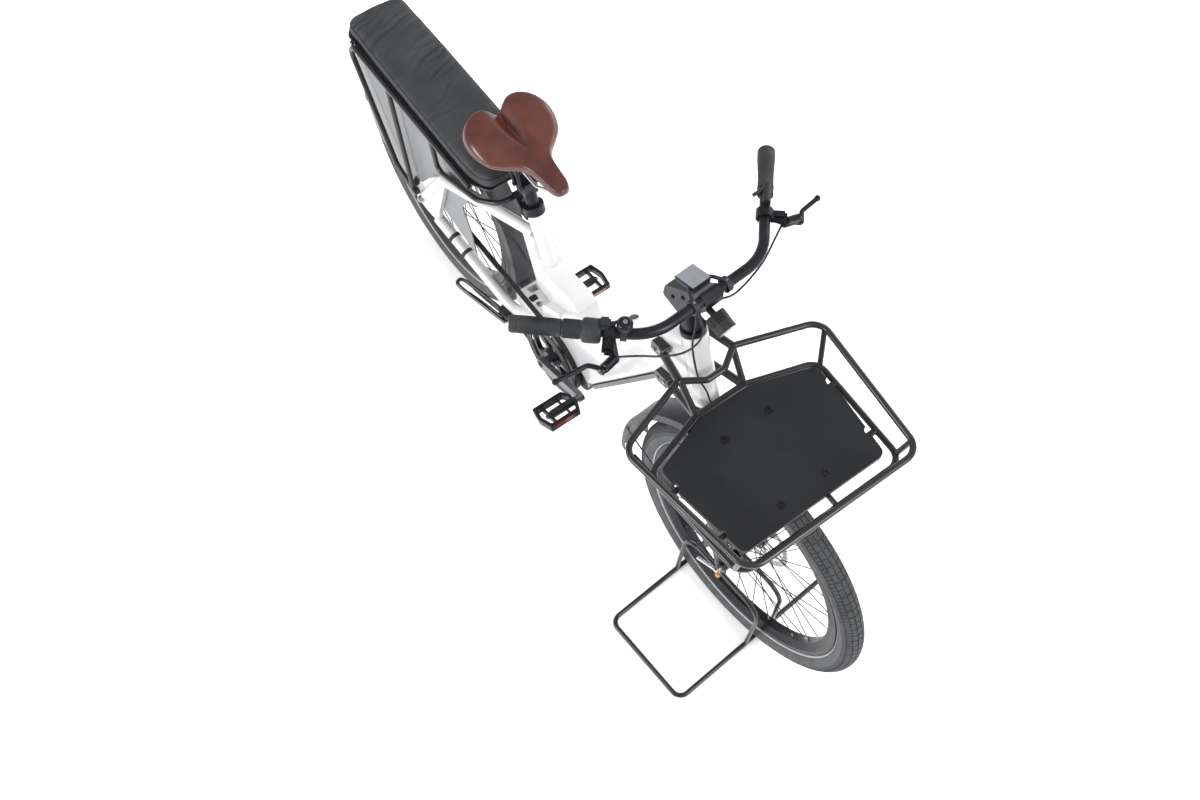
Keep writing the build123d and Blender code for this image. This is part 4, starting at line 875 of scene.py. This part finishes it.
def grip_axis(sign):
    """The place of a shape turned about Y that lies on a grip, with its start at the bar's end."""
    return standing(on_grip(0, sign), Vector((BAR_TAIL.x, sign * BAR_TAIL.y, BAR_TAIL.z)))


right_grip = lathe([(-3.0, 0.0), (-6.0, 0.0), (-6.0, 13.0), (-5.2, 15.2), (-3.0, 16.6), (0.0, 17.0),
                    (7.0, 17.0), (7.6, 16.2), (8.6, 16.2), (9.2, 16.8), (30.0, 16.4), (60.0, 16.2),
                    (84.0, 16.8), (88.0, 17.0), (89.6, 16.4), (90.0, 15.0), (90.0, 11.3), (-3.0, 11.3)], 40)
left_grip = lathe([(-3.0, 0.0), (-6.0, 0.0), (-6.0, 12.5), (-5.0, 15.4), (-2.0, 17.4), (4.0, 18.0),
                   (5.0, 17.5), (6.0, 18.0), (24.0, 17.8), (44.0, 16.6), (68.0, 15.7), (86.0, 15.9),
                   (93.0, 16.6), (95.0, 15.6), (95.0, 11.3), (-3.0, 11.3)], 40)
rib = flat_box((15.2, 13.0, -0.5), (16.9, 82.0, 0.5), 0.3)
ribs = ring_of(rib, 44, grip_rubber)
grip_pair = keep("grip_sleeves", gathered([(right_grip, grip_axis(-1)), (left_grip, grip_axis(1)),
                                           (ribs, grip_axis(-1))]),
                 grip_rubber, "steering")
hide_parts("grips")
twist = lathe([(91.0, 11.3), (91.0, 16.6), (92.0, 17.4), (126.5, 17.6), (127.6, 18.6), (129.0, 21.5),
               (131.5, 23.4), (135.0, 24.0), (143.0, 24.0), (143.7, 23.5), (144.4, 24.0), (156.0, 23.6),
               (161.0, 22.2), (163.4, 19.6), (164.0, 16.0), (164.0, 11.3)], 48)
ridge = flat_box((16.8, 94.0, -0.9), (18.3, 124.0, 0.9), 0.4)
twist_piece = keep("twist_shifter_shell", gathered([(twist, grip_axis(-1)),
                                                    (ring_of(ridge, 26, grip_rubber), grip_axis(-1))]),
                   grip_rubber, "steering")
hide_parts("twist_shifter")

screen_x = Vector((1.0, 0.0, 0.3)).normalized()
screen_z = Vector((-0.3, 0.0, 1.0)).normalized()
screen_place = Matrix((
    (screen_x.x, 0, screen_z.x, 358.0), (0, 1, 0, 0.0), (screen_x.z, 0, screen_z.z, 1088.0), (0, 0, 0, 1)))
keep("display_glass", flat_box((-25.2, -22.2, 10.0), (25.2, 22.2, 11.6), 0.5), screen_glass, "steering",
     steered_place @ screen_place)
keep("display_rim", flat_box((-27.0, -24.0, 6.6), (27.0, 24.0, 10.2), 1.2), black_nylon, "steering",
     steered_place @ screen_place)

lamp_way = Vector((38.0, 0.0, -10.0)).normalized()
lamp_place = steered_place @ standing((424.0, 0.0, 1050.0), lamp_way)
fin = lathe([(0.0, 12.0), (0.0, 21.4), (0.5, 22.0), (2.2, 22.0), (2.7, 21.4), (2.7, 12.0)], 40)
fins = [(fin, Matrix.Translation((0, along, 0))) for along in (2.0, 7.2, 12.4, 17.6)]
keep("headlight_fins", gathered(fins), black_anodised, "steering", lamp_place)
lens = lathe([(38.2, 0.0), (38.2, 18.5), (40.6, 18.0), (42.4, 13.0), (43.0, 6.0), (43.1, 0.0)], 40)
keep("headlight_lens", lens, lamp_lens, "steering", lamp_place)
bezel = lathe([(37.0, 18.2), (37.0, 21.6), (39.6, 21.6), (40.4, 20.6), (40.4, 18.2)], 40)
keep("headlight_bezel", bezel, black_nylon, "steering", lamp_place)

bell_top = on_grip(205, -1, 0, 35.6)
cap = lathe([(0.0, 0.0), (0.0, 14.6), (1.4, 14.2), (3.4, 12.0), (4.6, 8.0), (5.0, 5.2), (5.0, 0.0)], 32)
keep("bell_cap", cap, black_anodised, "steering",
     steered_place @ standing(bell_top, (0, 0, 1)))
bolts("bell_screw", stainless, "steering", 4.4, 2.4, [(bell_top + Vector((0, 0, 5.0)), (0, 0, 1))])

# stem cover and bar clamp screws, and the display clamp's screws
bolts("stem_bolts", black_anodised, "steering", 4.4, 3.0,
      [((334.0, sign * 21.9, 1022.0), (0, sign, 0)) for sign in (1, -1)]
      + [((359.0, sign * 21.9, 1048.0), (0, sign, 0)) for sign in (1, -1)])
bolts("display_clamp_bolts", stainless, "steering", 2.9, 2.2,
      [((403.0, sign * 41.5, 1104.6), (0, 0, 1)) for sign in (1, -1)])


# ------------------------------------------------------------------ side panels


def sheet_of(outline, corner, low, high):
    """A thin sheet in X and Z between two values of Y, with rounded corners and softened edges."""
    rounded = []
    for before, spot, after in zip(outline[-1:] + outline[:-1], outline, outline[1:] + outline[:1]):
        spot = Vector(spot)
        start = spot + (Vector(before) - spot).normalized() * corner
        end = spot + (Vector(after) - spot).normalized() * corner
        for step in range(7):
            t = step / 6
            rounded.append(start * (1 - t)**2 + spot * 2 * t * (1 - t) + end * t**2)
    solid = bmesh.new()
    solid.from_mesh(lofted([[(point.x, y, point.y) for point in rounded] for y in (low, high)], ends=(0, -1)))
    rim = [edge for edge in solid.edges if abs(edge.verts[0].co.y - edge.verts[1].co.y) < 0.01]
    return bevelled(solid, 0.8, rim)


PANEL_NEAR, PANEL_FAR = 63.5, 66.5  # the sheet's two faces, from the middle
PANEL = [(-852, 702), (-858, 612), (-852, 531), (-840, 463), (-809, 380), (-733, 322), (-655, 316),
         (-622, 392), (-500, 404), (-338, 366), (-352, 439), (-388, 521), (-364, 560), (-318, 702)]
panels = []
for sign in (1, -1):
    panels.append((sheet_of(PANEL, 9.0, *sorted((sign * PANEL_NEAR, sign * PANEL_FAR))), Matrix()))
panel_pair = keep("panel_sheets", gathered(panels), grey_sheet, "frame")
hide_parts("side_panels")
clip = flat_box((-9.0, -2.0, -5.0), (9.0, 19.0, 5.0), 1.0)
clips = []
for sign in (1, -1):
    for x in (-790, -600, -380):
        flip = Matrix() if sign > 0 else Matrix.Rotation(pi, 4, "X")
        clips.append((clip, Matrix.Translation((x, sign * 68.0, 699.0)) @ flip))
keep("panel_clips", gathered(clips), black_nylon, "frame")

# ------------------------------------------------------------------ pedals


def make_pedal(name, centre, sign, tilt, body):
    """A platform pedal: a six-sided cage on a barrel, with grip pins and a reflector on each long edge."""
    turn = radians(tilt)
    place = frame_place @ Matrix(((cos(turn), 0, -sin(turn), centre.x), (0, 1, 0, centre.y),
                                  (sin(turn), 0, cos(turn), centre.z), (0, 0, 0, 1)))
    outer = [(-43, 41), (0, 49), (43, 41), (43, -41), (17, -53), (-17, -53), (-43, -41)]
    inner = [(-34, 33), (0, 40), (34, 33), (34, -36), (14, -45), (-14, -45), (-34, -36)]
    solid = bmesh.new()
    solid.from_mesh(lofted([[(x, sign * y, z) for x, y in line] for line, z in (
        (outer, -9.5), (outer, 9.5), (inner, 9.5), (inner, -9.5))], closed=True))
    cage = bevelled(solid, 1.2)
    barrel = lathe([(-47.0, 5.2), (-47.0, 9.5), (-40.0, 10.5), (12.0, 10.5), (18.0, 8.5), (24.0, 8.5),
                    (24.0, 0.0), (23.0, 0.0), (23.0, 5.2)], 28)
    across = flat_box((-36.0, 17.0, -7.0), (36.0, 23.5, 7.0), 1.2)
    wings = []
    for side in (1, -1):
        near, far = sorted((side * 9.0, side * 36.0))
        wings.append(flat_box((near, -24.0, -5.0), (far, -19.5, 5.0), 1.0))
    flip = Matrix.Identity(4) if sign > 0 else Matrix.Rotation(pi, 4, "X")
    parts = [(cage, Matrix())] + [(part, flip) for part in (barrel, across, *wings)]
    pedal = keep(name, gathered(parts), pedal_cast, body, place)
    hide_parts(name.replace("_cage", ""))
    pin = lathe([(0.0, 0.0), (0.0, 1.9), (2.4, 1.5), (2.6, 0.9), (2.6, 0.0)], 8)
    pins = [(pin, standing((side * 38.5, sign * y, face * 9.4), (0, 0, face)))
            for side in (1, -1) for face in (1, -1) for y in (-30, -8, 14, 34)]
    keep(name + "_pins", gathered(pins), pedal_cast, body, place)
    strips = [(flat_box((side * 43.4 - 0.9, -26.0, -5.5), (side * 43.4 + 0.9, 26.0, 5.5), 0.6), Matrix())
              for side in (1, -1)]
    keep(name + "_reflectors", gathered(strips), amber_reflector, body, place)


CRANK_TURN = radians(22.9)
CRANK, PEDAL_OUT = 170.0, 162.0  # the cranks' length, and the pedals' distance from the middle
reach = Vector((CRANK * cos(CRANK_TURN), 0.0, CRANK * sin(CRANK_TURN)))
out = Vector((0.0, PEDAL_OUT, 0.0))
make_pedal("right_pedal_cage", BRACKET + reach - out, -1, 24, "right_pedal")
make_pedal("left_pedal_cage", BRACKET - reach + out, 1, 9, "left_pedal")
bolts("crank_bolts", black_anodised, "crankset", 9.0, 2.5,
      [(BRACKET + Vector((0.0, sign * 99.8, 0.0)), (0, sign, 0)) for sign in (1, -1)])
bolts("pulley_bolts", stainless, "crankset", 4.2, 2.2,
      [(BRACKET + Vector((38 * cos(turn), -60.0, 38 * sin(turn))), (0, -1, 0))
       for turn in [radians(12 + 72 * k) for k in range(5)]])

# ------------------------------------------------------------------ small fittings

# the axle lever's end cap, and the board's front prop
cap = lathe([(0.0, 0.0), (0.0, 4.6), (1.0, 5.2), (6.0, 5.4), (9.0, 4.6), (10.5, 2.6), (10.8, 0.0)], 24)
keep("axle_lever_cap", cap, amber_cap, "steering",
     steered_place @ standing(FRONT_HUB + Vector((6.0, -99.0, 0.0)), (1.0, -0.35, 0.2)))
pipe("board_prop", [on_carrier(x, 36.0, z) for x, z in ((730, 824), (765, 824), (790, 823), (806, 822))], 6.0,
     black_powder)

# the yoke's cover plate with its window and clamp bolt
keep("yoke_window", flat_box((-156.0, -34.0, 372.0), (-137.0, -13.0, 374.2), 0.8), black_nylon, "frame")
bolts("yoke_bolt", stainless, "frame", 7.5, 4.0, [((-122.0, -24.0, 377.0), (-0.18, 0, 0.98))])

# ------------------------------------------------------------------ footrests

for sign, side_name in ((1, "left"), (-1, "right")):
    along = Vector((-166, sign * 43, 14)).normalized()
    out = Vector((0, 1, 0)).cross(along).cross(along).normalized()
    out = out if out.y > 0 else -out
    root = Vector((-190, sign * 75, 257))
    loop = []
    for run, across in ((0, 11), (40, 11.5), (120, 12), (160, 11.5), (170, 7), (172, 0), (170, -7),
                        (160, -11.5), (120, -12), (40, -11.5), (0, -11)):
        loop.append(root + along * run + out * across)
    pipe(side_name + "_footrest_loop", loop, 5.0, black_powder)
    for across in (-3.6, 3.6):
        pipe(side_name + ("_inner_bar" if across < 0 else "_outer_bar"),
             [root + along * 2 + out * across, root + along * 80 + out * across * 0.9,
              root + along * 128 + out * across * 2.1], 2.2, black_powder)
    near, far = sorted((sign * 62, sign * 84))
    block = flat_box((-222.0, near, 252.0), (-186.0, far, 286.0), 2.0)
    piece = keep(side_name + "_footrest_bracket", block, black_nylon, "frame")
    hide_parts("footboards")

# ------------------------------------------------------------------ brake lever bodies

# a master cylinder with its reservoir above, and a ball on the blade's tip
cylinder = lathe([(0.0, 0.0), (0.0, 7.0), (2.0, 9.0), (5.0, 10.0), (34.0, 10.0), (37.0, 8.4), (44.0, 8.4),
                  (46.0, 6.5), (46.0, 0.0)], 28)
reservoir = lathe([(0.0, 0.0), (0.0, 6.0), (1.5, 7.5), (30.0, 7.5), (32.0, 5.5), (32.0, 0.0)], 24)
ball = lathe([(6.6 * -cos(pi * k / 12), 6.6 * sin(pi * k / 12)) for k in range(13)], 20)
for side_name, foot, heading, tip in (("right", (379, -204, 1050), (0.12, -0.99, -0.05), (346, -323, 1040)),
                                      ("left", (358, 238, 1064), (0.2, 0.95, -0.2), (349.5, 350, 1045))):
    above = Vector(foot) + Vector(heading).normalized() * 6 + Vector((4.0, 0.0, 12.0))
    keep(side_name + "_lever_body",
         gathered([(cylinder, standing(foot, heading)), (reservoir, standing(above, heading)),
                   (ball, Matrix.Translation(tip))]),
         black_anodised, "steering")

# perches that carry the levers on the bar, and the gear cable's adjuster beside the twist shifter
for sign, side_name, start in ((-1, "right", 167.0), (1, "left", 146.0)):
    near, far = sorted((-sign * 8.0, -sign * 44.0))
    perch = flat_box((near, start, -15.0), (far, start + 22.0, 7.0), 5.0)
    strap = lathe([(start, 11.3), (start, 15.5), (start + 2.0, 18.0), (start + 20.0, 18.0),
                   (start + 22.0, 15.5), (start + 22.0, 11.3)], 32)
    keep(side_name + "_lever_perch", gathered([(perch, grip_axis(sign)), (strap, grip_axis(sign))]),
         black_anodised, "steering")
housing = flat_box((-17.0, 158.0, 13.0), (7.0, 180.0, 29.0), 4.0)
adjuster = lathe([(0.0, 0.0), (0.0, 4.6), (9.0, 4.6), (10.0, 3.2), (18.0, 3.2), (18.0, 0.0)], 16)
keep("shift_cable_housing", gathered([(housing, grip_axis(-1)),
                                      (adjuster, standing(on_grip(179, -1, -4.0, 21.0), (0.3, 0.95, 0.0)))]),
     black_nylon, "steering")

# ------------------------------------------------------------------ floor and light

mesh = bpy.data.meshes.new("floor")
mesh.from_pydata([(-9, -9, 0), (9, -9, 0), (9, 9, 0), (-9, 9, 0)], [], [(0, 1, 2, 3)])
floor = bpy.data.objects.new("floor", mesh)
# Matt studio floor with a faint glow of its own, so that it stays pale under the bicycle.
mesh.materials.append(start_material("pale studio floor", Roughness=0.7, Base_Color=linear("#FAFAFA"),
                                     Emission_Color=(1.0, 1.0, 1.0, 1.0), Emission_Strength=0.3)[0])
scene.collection.objects.link(floor)
floor.location.z = -0.0005

world = bpy.data.worlds.new("studio")
world.use_nodes = True
background = world.node_tree.nodes["Background"]
background.inputs["Color"].default_value = (1.0, 1.0, 1.0, 1.0)
background.inputs["Strength"].default_value = 0.55
scene.world = world
scene.view_settings.view_transform = "Standard"


def softbox(name, place, target, size, power, seen=True):
    """A large soft lamp aimed at a point; one that isn't seen leaves no reflection."""
    lamp = bpy.data.lights.new(name, "AREA")
    lamp.shape = "RECTANGLE"
    lamp.size, lamp.size_y = size
    lamp.energy = power
    made = bpy.data.objects.new(name, lamp)
    made.location = place
    made.rotation_euler = (Vector(target) - Vector(place)).to_track_quat("-Z", "Y").to_euler()
    made.visible_glossy = seen
    scene.collection.objects.link(made)


softbox("top light", (0.4, 0.8, 4.4), (0.0, 0.0, 0.4), (3.6, 3.6), 105, seen=False)
softbox("left light", (-0.9, 4.2, 2.0), (0.0, 0.0, 0.6), (2.6, 1.2), 45)
softbox("front light", (3.6, 1.0, 3.2), (0.2, 0.0, 0.5), (1.0, 2.6), 100)
softbox("right light", (-0.6, -3.8, 2.4), (0.0, 0.0, 0.5), (2.2, 0.8), 120)
